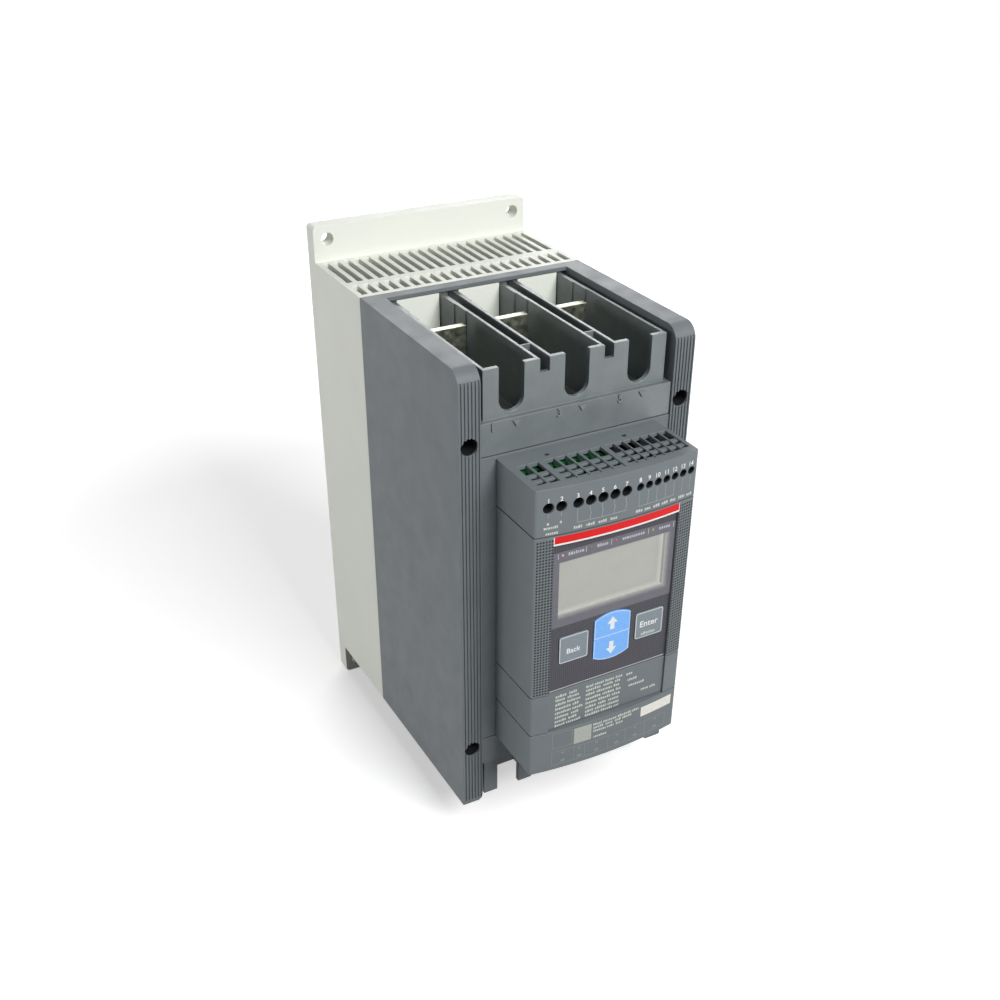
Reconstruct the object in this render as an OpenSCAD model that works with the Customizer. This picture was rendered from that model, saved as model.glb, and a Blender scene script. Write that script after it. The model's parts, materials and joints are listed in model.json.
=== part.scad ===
// Three-phase soft starter for panel mounting, with terminals at top and bottom.
// X runs to the right seen from the front, the front faces -Y and Z is up.
// The origin is the centre of the four fixing holes, on the wall side.
// Depths are measured forward from the wall.

/* [Housing] */
// Width over the housing
unit_w = 130; // [126:1:140]
// Height over the mounting flange
unit_h = 295; // [292:1:305]
// Height of the housing between the flange ends
body_h = 256; // [252:1:262]
// Thickness of the flange at both ends
flange_t = 10; // [6:0.5:12]
// Depth of the rear housing from the wall
base_d = 71; // [70:1:80]
// Depth of the front cover
cover_d = 110; // [106:1:120]
// Wall thickness of the housings
wall = 3; // [2.4:0.1:3.4]
// Width of each side rail of the front cover
rail_w = 11.7; // [11.2:0.1:12.4]
// Radius of the front cover's upper front edges
edge_r = 8; // [3:0.5:12]
// Radius of its lower front edges
edge_low_r = 1.5; // [0.5:0.5:4]
// Corner radius of the flange
flange_r = 2.5; // [1:0.5:4]
// Depth of the rear rail across the terminal openings
rear_rail_d = 7; // [4:0.5:9]
// Height of that rear rail
rear_rail_t = 2.2; // [1.5:0.1:2.4]
// How far the front panel lies behind the rails
panel_recess = 1; // [0.4:0.1:2]

/* [Mounting holes] */
// Distance of the holes from the flange's sides
hole_edge_x = 8; // [7:0.5:11]
// Distance of the holes from the flange's ends
hole_edge_z = 7.5; // [6:0.5:8]
// Hole diameter
hole_d = 7; // [5.5:0.1:8]

/* [Vents] */
// Slots in each row
vent_count = 21; // [9:1:21]
// Distance of the outer slots from the housing's sides
vent_margin = 3.1; // [3.1:0.1:12]
// Width of a slot
vent_w = 3.3; // [1.5:0.1:3.4]
// Length of the rear slots
vent_long = 34.5; // [20:0.5:36]
// Length of the front slots
vent_short = 14; // [8:0.5:14]
// Web between the two rows
vent_web = 6; // [4:0.5:6]
// Distance of the rear slots from the flange
vent_start = 3; // [2:0.5:3]

/* [Grip ribs] */
// Grooves down each side rail
groove_count = 6; // [3:1:6]
// Distance between grooves
groove_pitch = 1.84; // [1.4:0.02:1.84]
// Width of a groove
groove_w = 0.9; // [0.5:0.1:1.1]
// Depth of a groove
groove_depth = 0.8; // [0.4:0.1:1]

/* [Cover screws] */
// Height of the cover screws above and below the middle
cover_screw_z = 90; // [70:1:95]
// Diameter of the deep screw wells
well_d = 8.8; // [8.4:0.1:9]
// Depth of the screw wells
well_depth = 27; // [15:1:40]
// Screw shank diameter
screw_d = 4; // [3:0.5:4]
// Screw head diameter
screw_head_d = 7.6; // [6:0.2:8]
// Screw head height
screw_head_h = 3.2; // [2:0.2:4]

/* [Power terminals] */
// Space between the cells of neighbouring phases
phase_gap = 5.1; // [4:0.1:7]
// Space between the outer cells and the side rails
cell_margin = 2.9; // [2:0.1:4]
// Wall of a terminal cell
cell_wall = 1.8; // [1.4:0.1:2]
// Distance of the cells' front wall behind the rails
cell_setback = 4; // [3:0.5:6]
// Front wall thickness of the cells
cell_front_t = 2.8; // [2:0.1:3.2]
// Distance of the cells' rim below the housing top
cell_drop = 3; // [2.5:0.5:6]
// Depth of the cells from rim to floor
cell_depth = 32.5; // [28:0.5:36]
// Width of the cable notch
notch_w = 13.3; // [10:0.1:16]
// Depth of the cable notch
notch_depth = 22.9; // [16:0.1:23]
// Depth of the slots between the phases
phase_slot = 7; // [3:0.5:8]
// Distance of the ledge below the housing top
ledge_drop = 28; // [27:0.5:30]
// Height of the marking panel under the ledge
mark_h = 17.3; // [12:0.1:20]
// Length of the thicker rear part of the cell walls
rib_rear = 23.5; // [12:0.5:24]
// Length of the next wall step
rib_mid = 11; // [6:0.5:12]
// Height of each wall step
rib_step = 0.45; // [0.3:0.05:0.8]
// How far the cells' backs stand out of the rear housing
cell_back_d = 6.7; // [3:0.1:7]
// Depth of the square cable notches of the load side
load_notch_depth = 21.7; // [16:0.1:23]
// Distance of the load side's inner wall from the rim
load_wall_drop = 14.8; // [12:0.1:16]

/* [Terminal bars] */
// Width of a terminal bar
bar_w = 20; // [16:0.5:22]
// Thickness of a terminal bar
bar_t = 4; // [3:0.5:5]
// Depth of the bars' rear face beyond the rear housing
bar_offset = 37; // [36:0.5:40]
// Distance of the bar end below the cell rim
bar_drop = 5; // [3:0.5:8]
// Bolt hole in the bar
bar_hole_d = 8.5; // [6.5:0.5:9]
// Distance of the bolt hole from the bar end
bar_hole_edge = 10; // [8:0.5:12]

/* [Control unit] */
// Width of the control unit
control_w = 90; // [88:1:96]
// Depth of the control unit at its middle
control_d = 40.7; // [39:0.1:46]
// How far its front bulges between the sides
control_bulge = 3.7; // [3.5:0.1:4]
// Radius of its front corners
control_r = 1.5; // [1:0.5:4]
// Wall thickness of its shells
shell = 2.2; // [1.8:0.1:2.4]
// Height of its top above the middle
control_top = 81; // [80:0.5:83]
// Height of the terminal cover
term_h = 25; // [24:0.5:26]
// Height of the operating panel housing
hmi_h = 92.5; // [92:0.5:95]
// Height of the label band
band_h = 23.9; // [20:0.1:26]
// Height of the lower cover
lower_h = 25.6; // [20:0.2:28]
// Joint between the shells
seam = 0.6; // [0.2:0.1:0.8]
// Distance of the flat recess behind the middle of the bulge
flat_drop = 3.7; // [3.2:0.1:4]
// Half width of the flat recess
recess_half_w = 35.3; // [34.8:0.1:36]
// Height of the curved lip above the recess
lip_h = 5.6; // [5:0.1:6]

/* [Control terminals] */
// Distance between the supply and relay poles
power_pitch = 6.45; // [6.2:0.05:6.5]
// Distance between the signal poles
signal_pitch = 5.17; // [4.8:0.01:5.2]
// Screw hole of a supply or relay pole
power_hole_d = 5.4; // [4:0.1:5.6]
// Screw hole of a signal pole
signal_hole_d = 4; // [3:0.1:4.2]
// Height of the screw holes below the top
pole_drop = 10; // [9:0.5:12]
// Width of the wire slots of supply and relay poles
power_slot_w = 5.2; // [4:0.1:5.3]
// Width of the wire slots of the signal poles
signal_slot_w = 4.3; // [3:0.1:4.4]

/* [Operating panel] */
// Thickness of the overlay
overlay_t = 0.6; // [0.3:0.1:0.8]
// Sideways shift of the keys
panel_x = 1.05; // [0:0.05:1.2]
// Width of the visible display
lcd_w = 60.5; // [50:0.5:61]
// Height of the visible display
lcd_h = 29.5; // [20:0.5:30]
// Sideways shift of the display
lcd_x = -0.75; // [-1.5:0.05:1.5]
// Height of the display centre below the overlay's upper end
lcd_drop = 25.6; // [25:0.1:26]
// Width of the outer keys
key_w = 16.8; // [12:0.2:18]
// Height of the outer keys
key_h = 15.8; // [12:0.2:20]
// Distance of the outer keys from the arrow keys' middle
key_x = 22.4; // [21.5:0.1:23]
// Height of the key row below the overlay's upper end
key_drop = 62.3; // [61.5:0.1:63]
// Width of the arrow keys
arrow_w = 21.3; // [16:0.1:22]
// Height of the arrow keys' straight sides, both together
arrow_side_h = 22.7; // [18:0.1:24]
// Rise of their curved ends
arrow_rise = 2.8; // [1:0.1:3]
// How far the keys stand out of the overlay
key_proud = 0.4; // [0.2:0.1:0.6]
// Key travel
key_travel = 0.5; // [0.2:0.1:0.5]

/* [Cooling] */
// How far each fan frame is narrower than half the heat sink
fan_margin = 3.15; // [2.5:0.05:7]
// Fan frame thickness
fan_t = 15; // [12:1:18]
// Number of fan blades
fan_blades = 7; // [5:1:9]
// Fins of the heat sink
fin_count = 17; // [9:1:19]
// Thickness of a fin
fin_t = 1.8; // [1.2:0.1:2.2]
// Thickness of the heat sink's base
sink_base_t = 8; // [6:0.5:10]

/* [Hidden] */
$fn = 64;
phases = [-1, 0, 1];
sides = [-1, 1];
clear = 0.3;
through = 1;

half_w = unit_w / 2;
inner_w = half_w - wall;
opening_w = half_w - rail_w;
hole_dx = unit_w - 2 * hole_edge_x;
hole_dz = unit_h - 2 * hole_edge_z;
vent_pitch = (unit_w - 2 * vent_margin - vent_w) / (vent_count - 1);
cells_w = opening_w - cell_margin;
cell_w = (2 * cells_w - 2 * phase_gap) / 3;
phase_pitch = cell_w + phase_gap;
z_top = body_h / 2;
back_wall = flange_t - 6 > 3 ? flange_t - 6 : 3;
d_front = base_d + cover_d;
d_panel = d_front - panel_recess;
d_window = base_d - wall;

z_rim = z_top - cell_drop;
z_floor = z_rim - cell_depth;
floor_t = 2;
z_ledge = z_top - ledge_drop;
z_mark = z_ledge - mark_h;
ledge_t = 2.5;
ledge_back = 9;
d_cell_front = d_front - cell_setback;
d_cell_inner = d_cell_front - cell_front_t;
d_cell_rear = base_d + clear;
gap_rib_t = 1;
gap_rib_setback = 19.5;
load_shift = cell_drop;
load_notch_r = 1.3;
load_wall_t = 2;
back_half_w = cell_w / 2 - cell_wall - 2 * rib_step - clear;

module_w = phase_pitch - 9.3;
module_len = 92;
module_body_len = 72;
module_ear_t = 7;
module_h = 30;
module_screw_z = 41;
module_channel_h = 28;
module_channel_t = 4;
d_module = d_window + module_h;
bar_foot_z = 24;
bar_screw_z = 31;
bar_bend_z = 62;
d_bar = base_d + bar_offset;
z_bar_top = z_rim - bar_drop;
bend_run = d_bar - d_module;
bend_cut = bar_t * tan(22.5);
small_screw_d = 5;
small_head_d = 8;
small_head_h = 3.6;
thread_len = 12;
window_half_w = phase_pitch + module_w / 2 + 2;
window_half_h = module_len / 2 + 2;

board_t = 1.6;
board_gap = 25;
d_board_front = d_panel - wall - board_gap;
relay_w = phase_pitch - 7.3;
relay_half_h = 58;
relay_lug = 4;
relay_lug_z = 50;
relay_lug_h = 10;
relay_gap = 8.4;
d_relay = d_module + bar_t + relay_lug;
relay_d = d_board_front - board_t - relay_gap - d_relay;
ct_w = phase_pitch - 3.3;
ct_d = 20;
ct_h = 14;
board_half_w = opening_w - 5.3;
board_half_h = 70;
post_x = board_half_w - 4;
post_z = board_half_h - 6;
post_r = 3;
supply_coil_w = 32;
supply_coil_t = 14;
supply_coil_h = 26;
supply_coil_z = 36;
sense_plug = 12;
sense_plug_t = 9;
sense_plug_z = -52;

sink_half_w = half_w - rail_w / 2 - 6;
sink_bottom = -z_top + wall + fan_t + 12;
sink_top = z_top - wall - 8;
d_sink = d_window - sink_base_t;
d_fin = back_wall + 2;
fan_size = sink_half_w - fan_margin;
fan_x = sink_half_w / 2 + 1;
d_fan = (back_wall + d_window) / 2;
z_fan = -z_top + wall;
fan_bore_r = fan_size / 2 - 1.5;
fan_hub_r = 10;
fan_pin_r = 1.5;
fan_pin_gap = 0.05;
fan_tip_gap = 0.8;
fan_base_t = 2.5;

control_half_w = control_w / 2;
inner_corner_r = 1;
d_apex = d_panel + control_d;
bulge_r = (control_half_w * control_half_w + control_bulge * control_bulge) / (2 * control_bulge);
d_bulge = d_apex - bulge_r;
d_flat = d_apex - flat_drop;
d_overlay = d_flat - overlay_t;
hmi_wall = 2.4;
d_hmi_inner = d_overlay - hmi_wall;
z_term = control_top - term_h;
z_hmi = z_term - hmi_h;
z_band = z_hmi - band_h;
z_lower = z_band - lower_h;

pole_count = 14;
power_poles = 7;
supply_poles = 2;
x_supply = -control_half_w + 6.6;
x_relay = x_supply + power_pitch + 8.5;
x_signal = control_half_w - 4 - 6 * signal_pitch;
function pole_x(i) =
    i < supply_poles ? x_supply + i * power_pitch :
    i < power_poles ? x_relay + (i - supply_poles) * power_pitch :
    x_signal + (i - power_poles) * signal_pitch;
function pole_hole_d(i) = i < power_poles ? power_hole_d : signal_hole_d;
function pole_slot_w(i) = i < power_poles ? power_slot_w : signal_slot_w;
function front_at(x) = d_bulge + sqrt(bulge_r * bulge_r - x * x);
z_pole = control_top - pole_drop;
slot_start = 12;
slot_end = 5.9;
grid_bars = [20, 25.6, 31.2];
grid_bar_w = 2.7;
grid_bar_t = 1.4;
grid_bar_drop = 0.8;
mark_dot_x = 21.7;
mark_dot_d = 7.3;
mark_dot_r = 1.1;
block_t = 26;
block_h = 18.5;
block_rear = 5.6;
block_drop = 1.2;
d_block = d_panel + block_rear;
d_sleeve = d_block + block_t + clear;
sleeve_t = 0.5;
z_block = control_top - shell - block_drop - block_h;
pole_screw_d = 3.4;
pole_screw_h = 4;
pole_screw_depth = 9;

z_lip = z_term - lip_h;
overlay_half_w = recess_half_w - 0.1;
z_overlay_top = z_lip - 0.1;
z_overlay_low = z_hmi + seam;
lcd_z = z_overlay_top - lcd_drop;
lcd_frame = 1.2;
display_t = 6.6;
display_margin = 2;
window_t = 1.9;
key_z = z_overlay_top - key_drop;
key_corner = 1.2;
key_gap = 0.3;
key_flange = 0.8;
key_flange_t = 1.6;
key_body = 2;
arrow_split = 0.4;
arrow_half_h = arrow_side_h / 2;
arrow_r = (arrow_w * arrow_w / 4 + arrow_rise * arrow_rise) / (2 * arrow_rise);
led_x = [-29.4, -13.6, 0.4, 21.6];
led_z = z_overlay_top - 7.1;
led_r = 0.75;
led_len = 6;
d_key_rear = d_hmi_inner - clear - key_flange_t;
dome_gap = 0.1;
dome_h = 3.4;
dome_r = 3;
d_keyboard = d_key_rear - key_travel - dome_gap - dome_h;
keyboard_half_w = 36;
keyboard_half_h = 18;
keyboard_post_x = 34;
keyboard_post_r = 1.6;
control_board_half_w = 41;
control_post_r = 2.5;
control_post_x = 38;
control_post_z = [z_hmi + 6, z_term - 6];
link_plug_w = 60;
link_plug_t = 10;
link_plug_h = 8;
chip_w = 28;
chip_t = 6;
chip_h = 16;

shell_grey = "#6d7478";
cover_grey = "#7c8285";
white = "#e9ebe4";
tin = "#c9c6bc";
alloy = "#b4b7b9";
steel = "#a9abad";
black = "#2a2d2f";
board_green = "#2f6b45";
plug_green = "#2f8f55";
key_grey = "#767d82";
key_blue = "#6a9ff2";

// Box between two sides, two depths in front of the wall and two heights
module slab(x0, x1, d0, d1, z0, z1) {
    translate([x0, -d1, z0])
        cube([x1 - x0, d1 - d0, z1 - z0]);
}

// Round bar along the depth direction
module rod(r, x, z, d0, d1) {
    translate([x, -d0, z])
        rotate([90, 0, 0])
            cylinder(r = r, h = d1 - d0);
}

// What a round edge along X takes off a square one
module edge_cut(r, len, up) {
    rotate([0, 90, 0])
        translate([0, 0, -len / 2])
            difference() {
                translate([up > 0 ? -r - through : 0, -r - through, 0])
                    cube([r + through, r + through, len]);
                translate([0, 0, -through])
                    cylinder(r = r, h = len + 2 * through);
            }
}

module vent_rows(up) {
    row_z0 = up > 0 ? z_top - wall - through : -z_top - through;
    d_long = flange_t + vent_start;
    d_short = d_long + vent_long + vent_web;
    for (i = [0 : vent_count - 1]) {
        x = (i - (vent_count - 1) / 2) * vent_pitch;
        slab(x - vent_w / 2, x + vent_w / 2, d_long, d_long + vent_long, row_z0, row_z0 + wall + 2 * through);
        slab(x - vent_w / 2, x + vent_w / 2, d_short, d_short + vent_short, row_z0, row_z0 + wall + 2 * through);
    }
}

// Backs of the terminal cells, drawn in from their skin by inset
module cell_backs(inset, d_rear) {
    for (p = phases, up = sides) {
        z_low = z_floor + (up > 0 ? 0 : load_shift) + clear + inset;
        z_high = z_top - rear_rail_t - clear - inset;
        slab(p * phase_pitch - back_half_w + inset, p * phase_pitch + back_half_w - inset,
            d_rear, base_d + cell_back_d - inset, up > 0 ? z_low : -z_high, up > 0 ? z_high : -z_low);
    }
}

module rear_housing() {
    boss_r = screw_d / 2 + 2.2;
    color(white)
        difference() {
            union() {
                rounded_plate(unit_w, unit_h, flange_r, 0, 0, 0, flange_t);
                difference() {
                    slab(-half_w, half_w, 0, base_d, -z_top, z_top);
                    slab(-inner_w, inner_w, back_wall, d_window, -z_top + wall, z_top - wall);
                    vent_rows(1);
                    vent_rows(-1);
                    slab(-window_half_w, window_half_w, back_wall, base_d + through,
                        -window_half_h, window_half_h);
                }
                cell_backs(0, base_d - 1);
                for (sx = sides, sz = sides)
                    rod(boss_r, sx * (half_w - rail_w / 2), sz * cover_screw_z, d_window - thread_len, d_window);
            }
            cell_backs(wall, d_window - through);
            for (sx = sides, sz = sides) {
                rod(hole_d / 2, sx * hole_dx / 2, sz * hole_dz / 2, -through, flange_t + through);
                rod(screw_d / 2 + 0.05, sx * (half_w - rail_w / 2), sz * cover_screw_z,
                    d_window - thread_len, base_d + through);
            }
            slab(-inner_w, inner_w, back_wall, flange_t, -z_top + wall, z_top - wall);
        }
}

module heat_sink() {
    fin_pitch = (2 * sink_half_w - fin_t) / (fin_count - 1);
    color(alloy)
        difference() {
            union() {
                slab(-sink_half_w, sink_half_w, d_sink, d_window, sink_bottom, sink_top);
                for (i = [0 : fin_count - 1]) {
                    x = -sink_half_w + i * fin_pitch;
                    slab(x, x + fin_t, d_fin, d_sink, sink_bottom, sink_top);
                }
            }
            for (p = phases, sz = sides)
                rod(small_screw_d / 2 + 0.05, p * phase_pitch, sz * module_screw_z,
                    d_window - sink_base_t - through, d_window + through);
        }
}

module fan_frame(side) {
    color(black)
        translate([side * fan_x, -d_fan, z_fan]) {
            difference() {
                translate([-fan_size / 2, -fan_size / 2, 0])
                    cube([fan_size, fan_size, fan_t]);
                translate([0, 0, -through])
                    cylinder(r = fan_bore_r, h = fan_t + 2 * through);
                for (sx = sides, sy = sides)
                    translate([sx * (fan_size / 2 - 4.5), sy * (fan_size / 2 - 4.5), -through])
                        cylinder(r = 2.1, h = fan_t + 2 * through);
            }
            cylinder(r = fan_hub_r, h = fan_base_t);
            for (a = [45 : 90 : 315])
                rotate([0, 0, a])
                    translate([0, -1.5, 0])
                        cube([fan_bore_r + 1, 3, fan_base_t]);
            cylinder(r = fan_pin_r, h = fan_t - 2);
        }
}

module fan_rotor(side) {
    rotor_z = fan_base_t + 0.6;
    rotor_h = fan_t - rotor_z - 0.8;
    blade_angle = 38;
    color(black)
        translate([side * fan_x, -d_fan, z_fan + rotor_z]) {
            difference() {
                cylinder(r = fan_hub_r - 0.5, h = rotor_h);
                translate([0, 0, -through])
                    cylinder(r = fan_pin_r + fan_pin_gap, h = rotor_h + 2 * through);
            }
            intersection() {
                difference() {
                    cylinder(r = fan_bore_r - fan_tip_gap, h = rotor_h);
                    translate([0, 0, -through])
                        cylinder(r = fan_hub_r - 1.5, h = rotor_h + 2 * through);
                }
                for (i = [0 : fan_blades - 1])
                    rotate([0, 0, i * 360 / fan_blades])
                        translate([0, 0, rotor_h / 2])
                            rotate([blade_angle, 0, 0])
                                translate([fan_hub_r - 2, -0.7, -rotor_h])
                                    cube([fan_bore_r, 1.4, 2 * rotor_h]);
            }
        }
}

// One hollow side rail with its grip grooves and screw wells
module side_rail(side) {
    x_in = opening_w;
    x_screw = half_w - rail_w / 2;
    pocket_front = d_front - 6;
    x_groove = x_screw - (groove_count - 1) / 2 * groove_pitch;
    groove_top = z_top - edge_r + 2.5;
    groove_low = -z_top + edge_low_r + 1.3;
    mirror([side < 0 ? 1 : 0, 0, 0])
        difference() {
            union() {
                difference() {
                    slab(x_in, half_w, base_d, d_front, -z_top, z_top);
                    slab(x_in + 2.4, half_w - wall, base_d - through, pocket_front, -z_top + wall, z_top - wall);
                }
                for (sz = sides)
                    rod(rail_w / 2 - 0.4, x_screw, sz * cover_screw_z, base_d, d_front);
            }
            for (sz = sides) {
                rod(well_d / 2, x_screw, sz * cover_screw_z, d_front - well_depth, d_front + through);
                rod(screw_d / 2 + 0.25, x_screw, sz * cover_screw_z, base_d - through, d_front);
                r = sz > 0 ? edge_r : edge_low_r;
                translate([half_w, -d_front + r, sz * (z_top - r)])
                    edge_cut(r, 4 * rail_w, sz);
            }
            translate([0, -base_d - rear_rail_d, 0])
                rotate([90, 0, 0])
                    linear_extrude(cover_d)
                        polygon([[x_in - 1, -z_top + 6], [x_in - 1, -z_top - 1], [x_in + 2.5, -z_top - 1]]);
            for (i = [0 : groove_count - 1])
                slab(x_groove + i * groove_pitch - groove_w / 2, x_groove + i * groove_pitch + groove_w / 2,
                    d_front - groove_depth, d_front + through, groove_low, groove_top);
        }
}

module front_cover() {
    cable_half_w = 24;
    cable_half_h = 30;
    color(cover_grey)
        union() {
            for (s = sides)
                side_rail(s);
            for (sz = sides) {
                z0 = sz > 0 ? z_top - rear_rail_t : -z_top;
                slab(-opening_w, opening_w, base_d, base_d + rear_rail_d, z0, z0 + rear_rail_t);
            }
            difference() {
                slab(-opening_w, opening_w, d_panel - wall, d_panel,
                    -z_mark - load_shift + seam / 2, z_mark - seam / 2);
                slab(-cable_half_w, cable_half_w, d_panel - wall - through, d_panel + through,
                    -cable_half_h, cable_half_h);
            }
            for (sx = sides, sz = sides)
                rod(post_r, sx * post_x, sz * post_z, d_board_front, d_panel - wall);
        }
}

// Cross-recessed screw along the depth direction, with its head towards the front
module screw(x, z, d_seat, len, shank_r, head_r, head_h) {
    cross_l = head_r * 1.1;
    cross_w = head_r * 0.28;
    difference() {
        union() {
            rod(shank_r, x, z, d_seat - len, d_seat);
            rod(head_r, x, z, d_seat, d_seat + head_h);
        }
        slab(x - cross_l / 2, x + cross_l / 2, d_seat + head_h * 0.45, d_seat + head_h + through,
            z - cross_w / 2, z + cross_w / 2);
        slab(x - cross_w / 2, x + cross_w / 2, d_seat + head_h * 0.45, d_seat + head_h + through,
            z - cross_l / 2, z + cross_l / 2);
    }
}

module cover_screws() {
    d_seat = d_front - well_depth;
    color(steel)
        for (sx = sides, sz = sides)
            screw(sx * (half_w - rail_w / 2), sz * cover_screw_z, d_seat, d_seat - d_window + thread_len - 1,
                screw_d / 2, screw_head_d / 2, screw_head_h);
}

// U-shaped cable notch through the front wall of one cell
module cable_notch(x) {
    notch_r = notch_w / 2;
    z_round = z_rim - notch_depth + notch_r;
    rod(notch_r, x, z_round, d_cell_inner - through, d_cell_front + through);
    slab(x - notch_r, x + notch_r, d_cell_inner - through, d_cell_front + through, z_round, z_rim + through);
}

// Square cable notch of the load side, with small round corners
module square_notch(x) {
    half = notch_w / 2;
    d0 = d_cell_inner - through;
    d1 = d_cell_front + through;
    z_end = z_rim - load_notch_depth;
    slab(x - half, x + half, d0, d1, z_end + load_notch_r, z_rim + through);
    slab(x - half + load_notch_r, x + half - load_notch_r, d0, d1, z_end, z_rim + through);
    for (s = sides)
        rod(load_notch_r, x + s * (half - load_notch_r), z_end + load_notch_r, d0, d1);
}

module terminal_insert(load) {
    cell_half = cell_w / 2;
    inner_half = cell_half - cell_wall;
    gap = phase_pitch - cell_w;
    d_step_1 = d_cell_rear + rib_rear;
    d_step_2 = d_step_1 + rib_mid;
    side_gap = clear;
    difference() {
        union() {
            slab(-cells_w, cells_w, d_cell_rear, d_cell_front, z_floor - floor_t, z_floor);
            slab(-cells_w, cells_w, d_cell_inner, d_cell_front, z_mark + seam / 2, z_rim - phase_slot);
            slab(-opening_w + side_gap, opening_w - side_gap, d_cell_inner, d_panel, z_mark + seam / 2, z_ledge);
            for (s = sides)
                slab(s > 0 ? cells_w - cell_wall : -opening_w + side_gap,
                    s > 0 ? opening_w - side_gap : -cells_w + cell_wall,
                    d_cell_front - ledge_back, d_panel, z_ledge - ledge_t, z_ledge);
            for (p = phases)
                difference() {
                    slab(p * phase_pitch - cell_half, p * phase_pitch + cell_half, d_cell_rear, d_cell_front,
                        z_floor - floor_t, z_rim);
                    slab(p * phase_pitch - inner_half, p * phase_pitch + inner_half, d_step_2, d_cell_inner,
                        z_floor, z_rim + through);
                    slab(p * phase_pitch - inner_half + rib_step, p * phase_pitch + inner_half - rib_step,
                        d_step_1 - through, d_step_2 + through, z_floor, z_rim + through);
                    slab(p * phase_pitch - inner_half + 2 * rib_step, p * phase_pitch + inner_half - 2 * rib_step,
                        d_cell_rear - through, d_step_1 + through, z_floor, z_rim + through);
                }
            for (s = sides)
                slab(s * phase_pitch / 2 - gap / 2, s * phase_pitch / 2 + gap / 2,
                    d_cell_front - gap_rib_setback, d_cell_front - gap_rib_setback + gap_rib_t, z_floor, z_rim);
        }
        for (s = sides)
            slab(s * phase_pitch / 2 - gap / 2, s * phase_pitch / 2 + gap / 2, d_cell_rear - through,
                d_cell_front - gap_rib_setback, z_floor - floor_t - through, z_floor + through);
        for (p = phases) {
            if (load)
                square_notch(p * phase_pitch);
            else
                cable_notch(p * phase_pitch);
            slab(p * phase_pitch - bar_w / 2 - clear, p * phase_pitch + bar_w / 2 + clear,
                d_bar - clear, d_bar + bar_t + clear, z_floor - floor_t - through, z_floor + through);
        }
    }
}

module line_terminal_insert() {
    color(cover_grey)
        terminal_insert(false);
}

// The load side reaches down to the housing's end and has an inner wall behind its notches
module load_terminal_insert() {
    wall_half = cell_w / 2 - cell_wall / 2;
    color(cover_grey)
        translate([0, 0, -load_shift])
            mirror([0, 0, 1])
                union() {
                    difference() {
                        terminal_insert(true);
                        slab(-half_w, half_w, base_d, base_d + rear_rail_d + clear,
                            z_rim - rear_rail_t - clear, z_rim + through);
                    }
                    for (p = phases)
                        slab(p * phase_pitch - wall_half, p * phase_pitch + wall_half, d_cell_inner - load_wall_t,
                            d_cell_inner + clear, z_floor - floor_t / 2, z_rim - load_wall_drop);
                }
}

// Joggled flat bar from a module terminal up into its cell
module terminal_bar(phase, extra = 0) {
    z_end = z_bar_top + extra;
    z_low = bar_bend_z;
    z_high = bar_bend_z + bend_run;
    color(tin)
        difference() {
            translate([phase * phase_pitch - bar_w / 2, 0, 0])
                rotate([90, 0, 90])
                    linear_extrude(bar_w)
                        polygon([
                            [-d_module, bar_foot_z],
                            [-d_module, z_low + bend_cut],
                            [-d_bar, z_high + bend_cut],
                            [-d_bar, z_end],
                            [-d_bar - bar_t, z_end],
                            [-d_bar - bar_t, z_high],
                            [-d_module - bar_t, z_low],
                            [-d_module - bar_t, bar_foot_z]
                        ]);
            rod(bar_hole_d / 2, phase * phase_pitch, z_end - bar_hole_edge,
                d_bar - through, d_bar + bar_t + through);
            rod(small_screw_d / 2 + 0.25, phase * phase_pitch, bar_screw_z,
                d_module - through, d_module + bar_t + through);
        }
}

module load_bar(phase) {
    mirror([0, 0, 1])
        terminal_bar(phase, load_shift);
}

module bar_screws() {
    color(steel)
        for (p = phases, sz = sides)
            screw(p * phase_pitch, sz * bar_screw_z, d_module + bar_t, bar_t + thread_len - 2,
                small_screw_d / 2, small_head_d / 2, small_head_h);
}

module thyristor_module(phase) {
    x = phase * phase_pitch;
    color(black)
        difference() {
            union() {
                slab(x - module_w / 2, x + module_w / 2, d_window, d_window + module_ear_t,
                    -module_len / 2, module_len / 2);
                slab(x - module_w / 2, x + module_w / 2, d_window, d_module,
                    -module_body_len / 2, module_body_len / 2);
            }
            slab(x - module_w / 2 - through, x + module_w / 2 + through, d_module - module_channel_t,
                d_module + through, -module_channel_h / 2, module_channel_h / 2);
            for (sz = sides) {
                rod(small_screw_d / 2 + 0.25, x, sz * module_screw_z, d_window - through, d_module);
                rod(small_screw_d / 2 + 0.05, x, sz * bar_screw_z, d_module - thread_len, d_module + through);
            }
        }
}

module module_screws() {
    color(steel)
        for (p = phases, sz = sides)
            screw(p * phase_pitch, sz * module_screw_z, d_window + module_ear_t, module_ear_t + sink_base_t - 1,
                small_screw_d / 2, small_head_d / 2, small_head_h);
}

module bypass_relay(phase) {
    x = phase * phase_pitch;
    color(black)
        union() {
            slab(x - relay_w / 2, x + relay_w / 2, d_relay, d_relay + relay_d, -relay_half_h, relay_half_h);
            for (sz = sides)
                slab(x - bar_w / 2, x + bar_w / 2, d_relay - relay_lug, d_relay,
                    sz * relay_lug_z - relay_lug_h / 2, sz * relay_lug_z + relay_lug_h / 2);
        }
}

module current_transformer(phase) {
    x = phase * phase_pitch;
    d_mid = d_bar + bar_t / 2;
    z_low = -z_floor - load_shift + floor_t + clear;
    color(black)
        difference() {
            slab(x - ct_w / 2, x + ct_w / 2, d_mid - ct_d / 2, d_mid + ct_d / 2, z_low, z_low + ct_h);
            slab(x - bar_w / 2 - clear, x + bar_w / 2 + clear, d_bar - clear, d_bar + bar_t + clear,
                z_low - through, z_low + ct_h + through);
        }
}

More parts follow.
